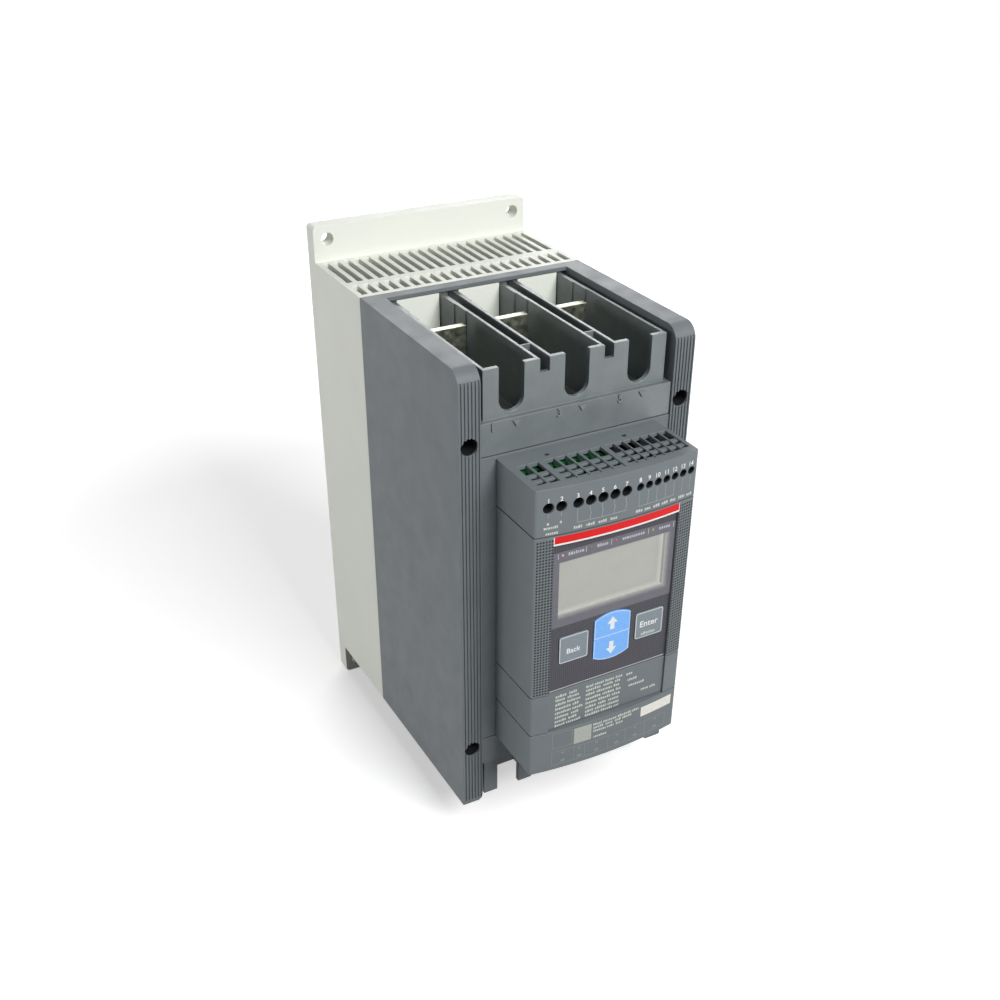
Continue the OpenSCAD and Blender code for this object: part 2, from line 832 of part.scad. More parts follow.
module power_board() {
    color(board_green)
        union() {
            slab(-board_half_w, board_half_w, d_board_front - board_t, d_board_front,
                -board_half_h, board_half_h);
            slab(-supply_coil_w / 2, supply_coil_w / 2, d_board_front, d_board_front + supply_coil_t,
                supply_coil_z, supply_coil_z + supply_coil_h);
            for (p = phases)
                slab(p * phase_pitch - sense_plug / 2, p * phase_pitch + sense_plug / 2,
                    d_board_front, d_board_front + sense_plug_t, sense_plug_z, sense_plug_z + sense_plug);
        }
}

// Outline of the control unit in plan, drawn in from its skin by inset
module control_outline(inset, d_rear) {
    side_x = control_half_w - inset;
    big_r = bulge_r - inset;
    corner_r = inset > 0 ? inner_corner_r : control_r;
    corner_x = side_x - corner_r;
    corner_d = d_bulge + sqrt((big_r - corner_r) * (big_r - corner_r) - corner_x * corner_x);
    end_angle = atan2(corner_d - d_bulge, corner_x);
    corner_steps = 8;
    bulge_steps = 16;
    right_corner = [for (i = [0 : corner_steps])
        let (a = end_angle * i / corner_steps)
        [corner_x + corner_r * cos(a), corner_d + corner_r * sin(a)]];
    bulge = [for (i = [1 : bulge_steps - 1])
        let (a = end_angle + (180 - 2 * end_angle) * i / bulge_steps)
        [big_r * cos(a), d_bulge + big_r * sin(a)]];
    left_corner = [for (i = [corner_steps : -1 : 0])
        [-right_corner[i][0], right_corner[i][1]]];
    outline = concat([[side_x, d_rear]], right_corner, bulge, left_corner, [[-side_x, d_rear]]);
    polygon([for (p = outline) [p[0], -p[1]]]);
}

module control_block(z0, z1, inset = 0, d_rear = d_panel) {
    translate([0, 0, z0])
        linear_extrude(z1 - z0)
            control_outline(inset, d_rear);
}

// Space inside a shell, open to the rear
module control_cavity(z0, z1, d_limit) {
    intersection() {
        control_block(z0, z1, shell, d_panel - through);
        slab(-control_w, control_w, d_panel - 2 * through, d_limit, z0 - through, z1 + through);
    }
}

module terminal_cover() {
    d_slot = d_panel + slot_start;
    z_bar = control_top - grid_bar_drop;
    x_limit = control_half_w - shell;
    color(shell_grey)
        union() {
            difference() {
                union() {
                    difference() {
                        control_block(z_term + seam / 2, control_top);
                        control_cavity(z_term - through, control_top - shell, d_apex);
                    }
                    for (i = [0 : pole_count - 1])
                        rod(pole_hole_d(i) / 2 + sleeve_t, pole_x(i), z_pole,
                            d_sleeve, front_at(pole_x(i)) - shell / 2);
                }
                for (i = [0 : pole_count - 1]) {
                    x = pole_x(i);
                    half = pole_slot_w(i) / 2;
                    rod(pole_hole_d(i) / 2, x, z_pole, d_sleeve - through, d_apex + through);
                    slab(max(x - half, -x_limit), min(x + half, x_limit), d_slot, front_at(x) - slot_end,
                        control_top - shell - through, control_top + through);
                }
                for (s = sides)
                    translate([s * mark_dot_x, -d_panel - mark_dot_d, control_top - 1])
                        cylinder(r = mark_dot_r, h = 1 + through);
            }
            for (b = grid_bars)
                slab(-control_half_w + shell / 2, control_half_w - shell / 2, d_panel + b,
                    d_panel + b + grid_bar_w, z_bar - grid_bar_t, z_bar);
        }
}

module rounded_plate(w, h, r, x, z, d0, d1) {
    translate([x, -d0, z])
        rotate([90, 0, 0])
            linear_extrude(d1 - d0) {
                square([w, h - 2 * r], center = true);
                square([w - 2 * r, h], center = true);
                for (sx = sides, sy = sides)
                    translate([sx * (w / 2 - r), sy * (h / 2 - r)])
                        circle(r = r);
            }
}

// Half of the arrow key pair, grown by grow, with its round end up or down
module arrow_plate(up, grow, d0, d1) {
    z_split = up * (arrow_split / 2 - grow);
    z_end = arrow_half_h + arrow_rise + grow;
    round_r = arrow_r + grow;
    intersection() {
        rod(round_r, panel_x, key_z + up * (z_end - round_r), d0, d1);
        if (up > 0)
            slab(panel_x - arrow_w / 2 - grow, panel_x + arrow_w / 2 + grow, d0, d1,
                key_z + z_split, key_z + z_end + through);
        else
            slab(panel_x - arrow_w / 2 - grow, panel_x + arrow_w / 2 + grow, d0, d1,
                key_z - z_end - through, key_z + z_split);
    }
}

module key_openings(d0, d1) {
    for (s = sides)
        rounded_plate(key_w + 2 * key_gap, key_h + 2 * key_gap, key_corner + key_gap,
            panel_x + s * key_x, key_z, d0, d1);
    for (up = sides)
        arrow_plate(up, key_gap, d0, d1);
}

module light_openings(d0, d1) {
    for (x = led_x)
        rod(led_r + 0.15, x, led_z, d0, d1);
}

// Shell of the control unit between two heights, with a flat recess in its curved front
module recessed_shell(z0, z1, d_floor, z_recess) {
    difference() {
        control_block(z0, z1);
        control_cavity(z0 - through, z1 + through, d_hmi_inner);
        slab(-recess_half_w, recess_half_w, d_floor, d_apex + through, z0 - through, z_recess);
    }
}

module panel_housing() {
    color(shell_grey)
        difference() {
            union() {
                recessed_shell(z_hmi + seam / 2, z_term - seam / 2, d_overlay, z_lip);
                for (sx = sides) {
                    for (z = control_post_z)
                        rod(control_post_r, sx * control_post_x, z, d_block, d_hmi_inner);
                    for (sz = sides)
                        rod(keyboard_post_r, sx * keyboard_post_x, key_z + sz * (keyboard_half_h - 2),
                            d_keyboard, d_hmi_inner);
                }
            }
            slab(lcd_x - lcd_w / 2 - lcd_frame, lcd_x + lcd_w / 2 + lcd_frame, d_hmi_inner - through,
                d_overlay + through, lcd_z - lcd_h / 2 - lcd_frame, lcd_z + lcd_h / 2 + lcd_frame);
            key_openings(d_hmi_inner - through, d_overlay + through);
            light_openings(d_hmi_inner - through, d_overlay + through);
        }
}

module label_band() {
    color(shell_grey)
        recessed_shell(z_band + seam / 2, z_hmi - seam / 2, d_flat, z_hmi);
}

module lower_cover() {
    color(shell_grey)
        difference() {
            control_block(z_lower, z_band - seam / 2);
            control_cavity(z_lower + shell, z_band - shell, d_apex);
            control_cavity(z_lower + shell, z_band + through, d_hmi_inner);
        }
}

module control_board() {
    color(board_green)
        union() {
            slab(-control_board_half_w, control_board_half_w, d_block - board_t, d_block,
                z_lower + shell + 2, control_top - shell - 1);
            slab(-link_plug_w / 2, link_plug_w / 2, d_block, d_block + link_plug_t, z_hmi - link_plug_h, z_hmi);
            slab(-chip_w / 2, chip_w / 2, d_block, d_block + chip_t, lcd_z - chip_h / 2, lcd_z + chip_h / 2);
        }
}

// Terminal block for a run of poles, with wire pockets above and screw holes in front
module terminal_block(first, last, pitch) {
    margin = pitch / 2 - 0.15;
    x_limit = control_half_w - shell - clear;
    x_left = max(pole_x(first) - margin, -x_limit);
    x_right = min(pole_x(last) + margin, x_limit);
    d_seat = d_block + block_t - pole_screw_depth;
    difference() {
        slab(x_left, x_right, d_block, d_block + block_t, z_block, z_block + block_h);
        for (i = [first : last]) {
            slab(pole_x(i) - pole_slot_w(i) / 2 + 0.4, pole_x(i) + pole_slot_w(i) / 2 - 0.4,
                d_panel + slot_start + 0.8, d_panel + slot_start + 6.5, z_pole - 3, z_block + block_h + through);
            rod(pole_screw_d / 2 + 0.1, pole_x(i), z_pole, d_seat, d_block + block_t + through);
            rod(pole_hole_d(i) / 2 - clear, pole_x(i), z_pole, d_seat + pole_screw_h, d_block + block_t + through);
        }
    }
}

module supply_terminals() {
    color(plug_green)
        terminal_block(0, supply_poles - 1, power_pitch);
}

module relay_terminals() {
    color(plug_green)
        terminal_block(supply_poles, power_poles - 1, power_pitch);
}

module signal_terminals() {
    color(black)
        terminal_block(power_poles, pole_count - 1, signal_pitch);
}

module terminal_screws() {
    d_seat = d_block + block_t - pole_screw_depth;
    color(steel)
        for (i = [0 : pole_count - 1])
            difference() {
                rod(pole_screw_d / 2, pole_x(i), z_pole, d_seat, d_seat + pole_screw_h);
                slab(pole_x(i) - pole_screw_d, pole_x(i) + pole_screw_d, d_seat + pole_screw_h - 0.8,
                    d_seat + pole_screw_h + through, z_pole - 0.3, z_pole + 0.3);
            }
}

module keypad_overlay() {
    color("#46444b")
        difference() {
            slab(-overlay_half_w, overlay_half_w, d_overlay, d_flat, z_overlay_low, z_overlay_top);
            slab(lcd_x - lcd_w / 2, lcd_x + lcd_w / 2, d_overlay - through, d_flat + through,
                lcd_z - lcd_h / 2, lcd_z + lcd_h / 2);
            key_openings(d_overlay - through, d_flat + through);
            light_openings(d_overlay - through, d_flat + through);
        }
}

module display_window() {
    edge = lcd_frame - 0.15;
    color("#c8cabf", 0.5)
        slab(lcd_x - lcd_w / 2 - edge, lcd_x + lcd_w / 2 + edge, d_overlay - window_t, d_overlay,
            lcd_z - lcd_h / 2 - edge, lcd_z + lcd_h / 2 + edge);
}

module display_module() {
    half = lcd_h / 2 + display_margin;
    color("#9aa08f")
        slab(lcd_x - lcd_w / 2 - display_margin, lcd_x + lcd_w / 2 + display_margin,
            d_hmi_inner - display_t, d_hmi_inner, lcd_z - half, lcd_z + half);
}

module keypad_board() {
    color(board_green)
        union() {
            slab(-keyboard_half_w, keyboard_half_w, d_keyboard - board_t, d_keyboard,
                key_z - keyboard_half_h, key_z + keyboard_half_h);
            for (s = sides) {
                rod(dome_r, panel_x + s * key_x, key_z, d_keyboard, d_keyboard + dome_h);
                rod(dome_r, panel_x, key_z + s * arrow_half_h / 2, d_keyboard, d_keyboard + dome_h);
            }
        }
}

module status_lights() {
    color("#d8dcc8")
        for (x = led_x)
            rod(led_r, x, led_z, d_flat - led_len, d_flat);
}

// Key cap with the flange that keeps it behind the panel
module side_key(side) {
    union() {
        rounded_plate(key_w, key_h, key_corner, panel_x + side * key_x, key_z, d_key_rear, d_flat + key_proud);
        rounded_plate(key_w + 2 * key_flange, key_h + 2 * key_flange, key_corner, panel_x + side * key_x, key_z,
            d_key_rear, d_key_rear + key_flange_t);
    }
}

module arrow_key(up) {
    flange_inset = arrow_split / 2;
    union() {
        arrow_plate(up, 0, d_key_rear, d_flat + key_proud);
        intersection() {
            arrow_plate(up, key_flange, d_key_rear, d_key_rear + key_flange_t);
            slab(-control_w, control_w, 0, 2 * d_apex,
                up > 0 ? key_z + flange_inset : key_z - control_w,
                up > 0 ? key_z + control_w : key_z - flange_inset);
        }
    }
}

module exit_key() {
    color(key_grey)
        side_key(-1);
}

module select_key() {
    color(key_grey)
        side_key(1);
}

module up_key() {
    color(key_blue)
        arrow_key(1);
}

module down_key() {
    color(key_blue)
        arrow_key(-1);
}

rear_housing();
heat_sink();
fan_frame(-1);  // fan_frame_left
fan_frame(1);  // fan_frame_right
fan_rotor(-1);  // fan_rotor_left
fan_rotor(1);  // fan_rotor_right
front_cover();
cover_screws();
line_terminal_insert();
load_terminal_insert();
terminal_bar(-1);  // line_bar_1
terminal_bar(0);  // line_bar_2
terminal_bar(1);  // line_bar_3
load_bar(-1);  // load_bar_1
load_bar(0);  // load_bar_2
load_bar(1);  // load_bar_3
bar_screws();
thyristor_module(-1);  // thyristor_module_1
thyristor_module(0);  // thyristor_module_2
thyristor_module(1);  // thyristor_module_3
module_screws();
bypass_relay(-1);  // bypass_relay_1
bypass_relay(0);  // bypass_relay_2
bypass_relay(1);  // bypass_relay_3
current_transformer(-1);  // current_transformer_1
current_transformer(0);  // current_transformer_2
current_transformer(1);  // current_transformer_3
power_board();
terminal_cover();
panel_housing();
label_band();
lower_cover();
control_board();
supply_terminals();
relay_terminals();
signal_terminals();
terminal_screws();
keypad_overlay();
display_window();
display_module();
keypad_board();
status_lights();
exit_key();
up_key();
down_key();
select_key();
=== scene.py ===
"""Looks of a panel-mounted soft starter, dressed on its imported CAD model.

Printed marks are placed in millimetres: x to the right, depth forward from the wall,
z up from the middle of the four fixing holes.
"""
import json
import math
import random

import bmesh
import bpy
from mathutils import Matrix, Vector


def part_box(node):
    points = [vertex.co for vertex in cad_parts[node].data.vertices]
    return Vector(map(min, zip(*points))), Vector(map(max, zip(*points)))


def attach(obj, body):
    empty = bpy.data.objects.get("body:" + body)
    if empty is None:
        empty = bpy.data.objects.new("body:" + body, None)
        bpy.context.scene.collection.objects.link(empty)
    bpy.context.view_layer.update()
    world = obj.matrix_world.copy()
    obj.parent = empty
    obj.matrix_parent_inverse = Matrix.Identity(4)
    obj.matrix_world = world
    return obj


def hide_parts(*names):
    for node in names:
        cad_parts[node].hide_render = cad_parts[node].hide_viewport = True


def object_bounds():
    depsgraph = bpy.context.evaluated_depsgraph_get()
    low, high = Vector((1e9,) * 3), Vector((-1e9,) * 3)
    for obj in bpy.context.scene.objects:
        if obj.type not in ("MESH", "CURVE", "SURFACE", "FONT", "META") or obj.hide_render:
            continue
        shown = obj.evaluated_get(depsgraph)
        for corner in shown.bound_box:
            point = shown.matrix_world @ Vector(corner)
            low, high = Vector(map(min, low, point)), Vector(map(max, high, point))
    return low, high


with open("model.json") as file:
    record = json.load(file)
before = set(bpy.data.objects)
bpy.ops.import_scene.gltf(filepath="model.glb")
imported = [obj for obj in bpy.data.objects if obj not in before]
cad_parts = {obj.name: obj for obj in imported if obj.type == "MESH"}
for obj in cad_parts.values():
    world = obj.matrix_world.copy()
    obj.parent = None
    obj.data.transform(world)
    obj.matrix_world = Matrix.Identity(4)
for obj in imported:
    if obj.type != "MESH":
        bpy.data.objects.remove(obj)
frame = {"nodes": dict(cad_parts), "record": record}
cad_low, cad_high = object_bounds()

# Units and the sizes that the marks share with the CAD model
MM = 0.001
HOUSING = "housing"
BULGE = 3.7
CORNER_R = 1.5
PANEL_D = 180.0


def extent(node):
    """Lowest and highest corner of a CAD node, in millimetres."""
    low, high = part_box(node)
    return low / MM, high / MM


shell_low, shell_high = extent("panel_housing")
overlay_low, overlay_high = extent("keypad_overlay")
HALF_W = shell_high.x
APEX_D = -shell_low.y
FLAT_D = -overlay_low.y
BULGE_R = (HALF_W ** 2 + BULGE ** 2) / (2 * BULGE)
CORNER_X = HALF_W - CORNER_R
CORNER_D = APEX_D - BULGE_R + math.sqrt((BULGE_R - CORNER_R) ** 2 - CORNER_X ** 2)
CORNER_START = CORNER_X * BULGE_R / (BULGE_R - CORNER_R)


def at(x, depth, z):
    """Point of the frame, in metres, from millimetres."""
    return Vector((x, -depth, z)) * MM


def flat_front(x):
    """Depth of the flat recess that holds the overlay and the label."""
    return FLAT_D


def panel_front(x):
    """Depth of the marking panel of the terminal inserts."""
    return PANEL_D


def curved_front(x):
    """Depth of the control unit's curved front, with its round corners."""
    if abs(x) > CORNER_START:
        return CORNER_D + math.sqrt(max(CORNER_R ** 2 - (abs(x) - CORNER_X) ** 2, 0))
    return APEX_D - BULGE_R + math.sqrt(BULGE_R ** 2 - x ** 2)


def linear_channel(value):
    """Linear value of one channel, by the screen colours' standard curve."""
    value /= 255
    return value / 12.92 if value <= 0.04045 else ((value + 0.055) / 1.055) ** 2.4


def linear(red, green, blue):
    """Linear colour from the 0 to 255 values of a screen colour."""
    return (linear_channel(red), linear_channel(green), linear_channel(blue), 1.0)


# Materials: sizes in millimetres, tones as factors of the base colour
PLASTIC_GLOSS = 0.26
INSERT_GLOSS = 0.6
NOISE_ROUGHNESS = 0.55
NOISE_RANGE = (0.3, 0.7)
GRAIN_SHARE = 0.12
GRAIN_TONE = 1.25
GLOSS_CLOUD = 0.6
GLOSS_SPREAD = 0.06
STAIN_MM = 6
STAIN_TONES = (0.78, 1.1)
METAL_GLOSS_MM = 3
METAL_GLOSS_SPREAD = (-0.08, 0.12)
SCRATCH_MM = 1.2
SCRATCH_DEPTH = 0.02
INK_PATCH_MM = 1.5
INK_TONES = (0.93, 1.05)
INK_ROUGH = 0.5
SATIN_INK_ROUGH = 0.45
KEY_ROUGH = 0.42
PIPE_ROUGH = 0.25
FILM_PITCH = 1.15
FILM_DOT_RANGE = (0.2, 1.0)
FILM_GLOSS_MM = 15
FILM_ROUGH = (0.36, 0.48)
FILM_GRAIN_MM = 0.6
FILM_GRAIN_DEPTH = 0.006
WINDOW_HAZE_MM = 12
WINDOW_TONES = ((190, 192, 184), (197, 199, 191))
WINDOW_ROUGH = 0.3
WINDOW_ALPHA = (0.72, 1.0)
WINDOW_FADE_RIGHT = (5.0, 1.6)
WINDOW_FADE_LOW = (4.0, 1.4)
CRYSTAL_CLOUD_MM = 30
CRYSTAL_TONES = ((192, 194, 185), (202, 203, 195))
CRYSTAL_ROUGH = 0.45


def new_material(name):
    """Node material with its shader and object coordinates."""
    made = bpy.data.materials.new(name)
    made.use_nodes = True
    tree = made.node_tree
    shader = tree.nodes["Principled BSDF"]
    place = tree.nodes.new("ShaderNodeTexCoord").outputs["Object"]
    return made, tree, shader, place


def noise(tree, place, size_mm, detail):
    """Noise whose features are about size_mm across."""
    node = tree.nodes.new("ShaderNodeTexNoise")
    node.inputs["Scale"].default_value = 1 / (size_mm * MM)
    node.inputs["Detail"].default_value = detail
    node.inputs["Roughness"].default_value = NOISE_ROUGHNESS
    tree.links.new(place, node.inputs["Vector"])
    return node.outputs["Fac"]


def remap(tree, value, out_low, out_high, in_low=NOISE_RANGE[0], in_high=NOISE_RANGE[1]):
    """Value spread over a new range."""
    node = tree.nodes.new("ShaderNodeMapRange")
    node.inputs["From Min"].default_value = in_low
    node.inputs["From Max"].default_value = in_high
    node.inputs["To Min"].default_value = out_low
    node.inputs["To Max"].default_value = out_high
    tree.links.new(value, node.inputs["Value"])
    return node.outputs["Result"]


def mix_colour(tree, factor, first, second):
    """Mix of two colours, each a fixed colour or a node's output."""
    node = tree.nodes.new("ShaderNodeMix")
    node.data_type = "RGBA"
    tree.links.new(factor, node.inputs["Factor"])
    sockets = [s for s in node.inputs if s.type == "RGBA"]
    for socket, colour in zip(sockets, (first, second)):
        if isinstance(colour, tuple):
            socket.default_value = colour
        else:
            tree.links.new(colour, socket)
    return [s for s in node.outputs if s.type == "RGBA"][0]


def shade(colour, factor):
    """The colour, lighter or darker."""
    return tuple(min(1.0, c * factor) for c in colour[:3]) + (1.0,)


def add_bump(tree, shader, height, distance_mm):
    """Fine relief of the surface."""
    bump = tree.nodes.new("ShaderNodeBump")
    bump.inputs["Distance"].default_value = distance_mm * MM
    tree.links.new(height, bump.inputs["Height"])
    tree.links.new(bump.outputs["Normal"], shader.inputs["Normal"])


def plastic(name, colour, rough, mottle, cloud_mm=22, grain_mm=0.5, grain_depth=0.02,
            gloss_level=PLASTIC_GLOSS):
    """Moulded plastic with a fine texture, faint clouds and uneven gloss."""
    made, tree, shader, place = new_material(name)
    shader.inputs["Specular IOR Level"].default_value = gloss_level
    cloud = remap(tree, noise(tree, place, cloud_mm, detail=4), 0, 1)
    tint = mix_colour(tree, cloud, shade(colour, 1 - mottle), shade(colour, 1 + mottle))
    grain = noise(tree, place, grain_mm, detail=2)
    final = mix_colour(tree, remap(tree, grain, 0, GRAIN_SHARE), tint, shade(colour, GRAIN_TONE))
    tree.links.new(final, shader.inputs["Base Color"])
    patch = noise(tree, place, cloud_mm * GLOSS_CLOUD, detail=3)
    gloss = remap(tree, patch, rough - GLOSS_SPREAD, rough + GLOSS_SPREAD)
    tree.links.new(gloss, shader.inputs["Roughness"])
    add_bump(tree, shader, remap(tree, grain, 0, 1), grain_depth)
    return made


def metal(name, colour, rough):
    """Plated metal with fine scratches and stains."""
    made, tree, shader, place = new_material(name)
    shader.inputs["Metallic"].default_value = 1.0
    stain = remap(tree, noise(tree, place, STAIN_MM, detail=4), 0, 1)
    tint = mix_colour(tree, stain, *[shade(colour, tone) for tone in STAIN_TONES])
    tree.links.new(tint, shader.inputs["Base Color"])
    patch = noise(tree, place, METAL_GLOSS_MM, detail=4)
    gloss = remap(tree, patch, *[rough + spread for spread in METAL_GLOSS_SPREAD])
    tree.links.new(gloss, shader.inputs["Roughness"])
    add_bump(tree, shader, noise(tree, place, SCRATCH_MM, detail=5), SCRATCH_DEPTH)
    return made


def print_ink(name, colour, rough=INK_ROUGH):
    """Printed ink, slightly uneven."""
    made, tree, shader, place = new_material(name)
    patch = remap(tree, noise(tree, place, INK_PATCH_MM, detail=2), 0, 1)
    tint = mix_colour(tree, patch, *[shade(colour, tone) for tone in INK_TONES])
    tree.links.new(tint, shader.inputs["Base Color"])
    shader.inputs["Roughness"].default_value = rough
    shader.inputs["Specular IOR Level"].default_value = PLASTIC_GLOSS
    return made


def wave(tree, place, pitch_mm):
    """Cosine wave along one coordinate."""
    angle = tree.nodes.new("ShaderNodeMath")
    angle.operation = "MULTIPLY"
    angle.inputs[1].default_value = 2 * math.pi / (pitch_mm * MM)
    tree.links.new(place, angle.inputs[0])
    turn = tree.nodes.new("ShaderNodeMath")
    turn.operation = "COSINE"
    tree.links.new(angle.outputs[0], turn.inputs[0])
    return turn.outputs[0]


def dotted_film(name, colour, dot_colour):
    """Printed film with a fine dot screen."""
    made, tree, shader, place = new_material(name)
    split = tree.nodes.new("ShaderNodeSeparateXYZ")
    tree.links.new(place, split.inputs["Vector"])
    both = tree.nodes.new("ShaderNodeMath")
    both.operation = "ADD"
    for i, axis in enumerate("XZ"):
        tree.links.new(wave(tree, split.outputs[axis], FILM_PITCH), both.inputs[i])
    dots = remap(tree, both.outputs[0], 0, 1, *FILM_DOT_RANGE)
    tint = mix_colour(tree, dots, colour, dot_colour)
    tree.links.new(tint, shader.inputs["Base Color"])
    shader.inputs["Specular IOR Level"].default_value = PLASTIC_GLOSS
    gloss = remap(tree, noise(tree, place, FILM_GLOSS_MM, detail=3), *FILM_ROUGH)
    tree.links.new(gloss, shader.inputs["Roughness"])
    add_bump(tree, shader, noise(tree, place, FILM_GRAIN_MM, detail=2), FILM_GRAIN_DEPTH)
    return made


def fade(tree, value, start_mm, end_mm):
    """Opacity of the window's pale tone, which grows between two places along one axis: painted light over
    the shade at the display's edges.
    """
    return remap(tree, value, *WINDOW_ALPHA, start_mm * MM, end_mm * MM)


def display_glass(name):
    """Hazy window over the display, denser towards its right and lower edges, where its pale tone is painted
    light over the shadow that the film's edge casts on the display.
    """
    made, tree, shader, place = new_material(name)
    haze = remap(tree, noise(tree, place, WINDOW_HAZE_MM, detail=3), 0, 1)
    tint = mix_colour(tree, haze, *[linear(*tone) for tone in WINDOW_TONES])
    tree.links.new(tint, shader.inputs["Base Color"])
    shader.inputs["Roughness"].default_value = WINDOW_ROUGH
    axes = tree.nodes.new("ShaderNodeSeparateXYZ")
    tree.links.new(place, axes.inputs[0])
    low, high = extent("display_window")
    most = tree.nodes.new("ShaderNodeMath")
    most.operation = "MAXIMUM"
    to_right = fade(tree, axes.outputs["X"], *[high.x - gap for gap in WINDOW_FADE_RIGHT])
    to_low = fade(tree, axes.outputs["Z"], *[low.z + gap for gap in WINDOW_FADE_LOW])
    tree.links.new(to_right, most.inputs[0])
    tree.links.new(to_low, most.inputs[1])
    tree.links.new(most.outputs[0], shader.inputs["Alpha"])
    return made


def liquid_crystal(name):
    """Unlit display, grey with a warm cast."""
    made, tree, shader, place = new_material(name)
    cloud = remap(tree, noise(tree, place, CRYSTAL_CLOUD_MM, detail=2), 0, 1)
    tint = mix_colour(tree, cloud, *[linear(*tone) for tone in CRYSTAL_TONES])
    tree.links.new(tint, shader.inputs["Base Color"])
    shader.inputs["Roughness"].default_value = CRYSTAL_ROUGH
    return made


# Plastics: colour, roughness, mottle and cloud size, and for some the grain's size and depth.
# Metals, keys and the light pipe: colour and roughness.
MATERIALS = {
    "white_plastic": plastic("white_plastic", linear(230, 233, 224), 0.5, 0.012, 30),
    "grey_plastic": plastic("grey_plastic", linear(108, 114, 117), 0.48, 0.07, 18),
    "insert_plastic": plastic(
        "insert_plastic", linear(108, 115, 116), 0.36, 0.1, 11, gloss_level=INSERT_GLOSS),
    "control_plastic": plastic("control_plastic", linear(111, 118, 121), 0.46, 0.035, 20, 0.4, 0.015),
    "black_plastic": plastic("black_plastic", linear(36, 38, 40), 0.45, 0.1),
    "green_plastic": plastic("green_plastic", linear(36, 104, 60), 0.4, 0.08),
    "circuit_board": plastic("circuit_board", linear(36, 92, 58), 0.35, 0.15, 6),
    "aluminium": metal("aluminium", linear(190, 192, 194), 0.42),
    "tinned_copper": metal("tinned_copper", linear(188, 192, 172), 0.34),
    "steel": metal("steel", linear(170, 172, 174), 0.35),
    "overlay_film": dotted_film("overlay_film", linear(76, 76, 83), linear(50, 50, 56)),
    "clear_window": display_glass("clear_window"),
    "display": liquid_crystal("display"),
    "light_pipe": print_ink("light_pipe", linear(200, 190, 170), PIPE_ROUGH),
    "grey_key": print_ink("grey_key", linear(132, 141, 148), KEY_ROUGH),
    "blue_key": print_ink("blue_key", linear(128, 184, 250), KEY_ROUGH),
}


# Pieces that stand for CAD nodes: faces whose normal rises past LEVEL count as level
EDGE_ANGLE = math.radians(35)
FLAT_ANGLE = math.radians(0.6)
LEVEL = 0.5
EDGE_SEGMENTS = 2
MERGE_M = 2e-6
SLOTTED = ("rear_housing",)
GLOSSIER = ("line_terminal_insert",)
NODE_SLOT = {row["node"]: row["material_slot"] for row in frame["record"]["subparts"]}
BODY_OF = {n: body for body, nodes in frame["record"]["behaviour"]["bodies"].items() for n in nodes}


def link(name, mesh, body):
    """New object of that mesh, riding on a body."""
    made = bpy.data.objects.new(name, mesh)
    bpy.context.scene.collection.objects.link(made)
    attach(made, body)
    return made


def merge_flats(bm, node):
    """Join the triangles of flat faces, in pairs only where a face has many slots."""
    slotted = [f for f in bm.faces if node in SLOTTED and abs(f.normal.z) > LEVEL]
    bmesh.ops.join_triangles(
        bm, faces=slotted, angle_face_threshold=FLAT_ANGLE, angle_shape_threshold=math.pi)
    plain = [e for e in bm.edges
             if node not in SLOTTED or all(abs(f.normal.z) < LEVEL for f in e.link_faces)]
    bmesh.ops.dissolve_limit(bm, angle_limit=FLAT_ANGLE, verts=[], edges=plain)


def dress(node, edge_mm):
    """Piece with the node's own form and softened edges, which stands for the node."""
    source = frame["nodes"][node].data
    bm = bmesh.new()
    bm.from_mesh(source)
    bmesh.ops.remove_doubles(bm, verts=bm.verts, dist=MERGE_M)
    merge_flats(bm, node)
    shape = bpy.data.meshes.new("temporary")
    bm.to_mesh(shape)
    bm.free()
    mesh = bpy.data.meshes.new(node + "_skin")
    mesh.from_pydata([v.co for v in shape.vertices], [], [list(p.vertices) for p in shape.polygons])
    bpy.data.meshes.remove(shape)
    mesh.polygons.foreach_set("use_smooth", [True] * len(mesh.polygons))
    mesh.set_sharp_from_angle(angle=EDGE_ANGLE)
    finish = "insert_plastic" if node in GLOSSIER else NODE_SLOT[node]
    mesh.materials.append(MATERIALS[finish])
    made = link(node + "_skin", mesh, BODY_OF[node])
    bevel = made.modifiers.new("edges", "BEVEL")
    bevel.width = edge_mm * MM
    bevel.segments = EDGE_SEGMENTS
    bevel.limit_method = "ANGLE"
    bevel.angle_limit = EDGE_ANGLE
    bevel.use_clamp_overlap = False
    bevel.harden_normals = True
    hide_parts(node)


SHELL_EDGE = 0.3
PANEL_EDGE = 0.25
BAR_EDGE = 0.25
KEY_SOFTNESS = 0.12
EDGES = {
    "rear_housing": SHELL_EDGE,
    "front_cover": SHELL_EDGE,
    "line_terminal_insert": SHELL_EDGE,
    "load_terminal_insert": SHELL_EDGE,
    "terminal_cover": SHELL_EDGE,
    "panel_housing": PANEL_EDGE,
    "label_band": PANEL_EDGE,
    "lower_cover": SHELL_EDGE,
    "exit_key": KEY_SOFTNESS,
    "select_key": KEY_SOFTNESS,
    "up_key": KEY_SOFTNESS,
    "down_key": KEY_SOFTNESS,
}
EDGES.update({f"{side}_bar_{i}": BAR_EDGE for side in ("line", "load") for i in (1, 2, 3)})

for node, cad in frame["nodes"].items():
    if node in EDGES:
        dress(node, EDGES[node])
    else:
        cad.data.materials.clear()
        cad.data.materials.append(MATERIALS[NODE_SLOT[node]])


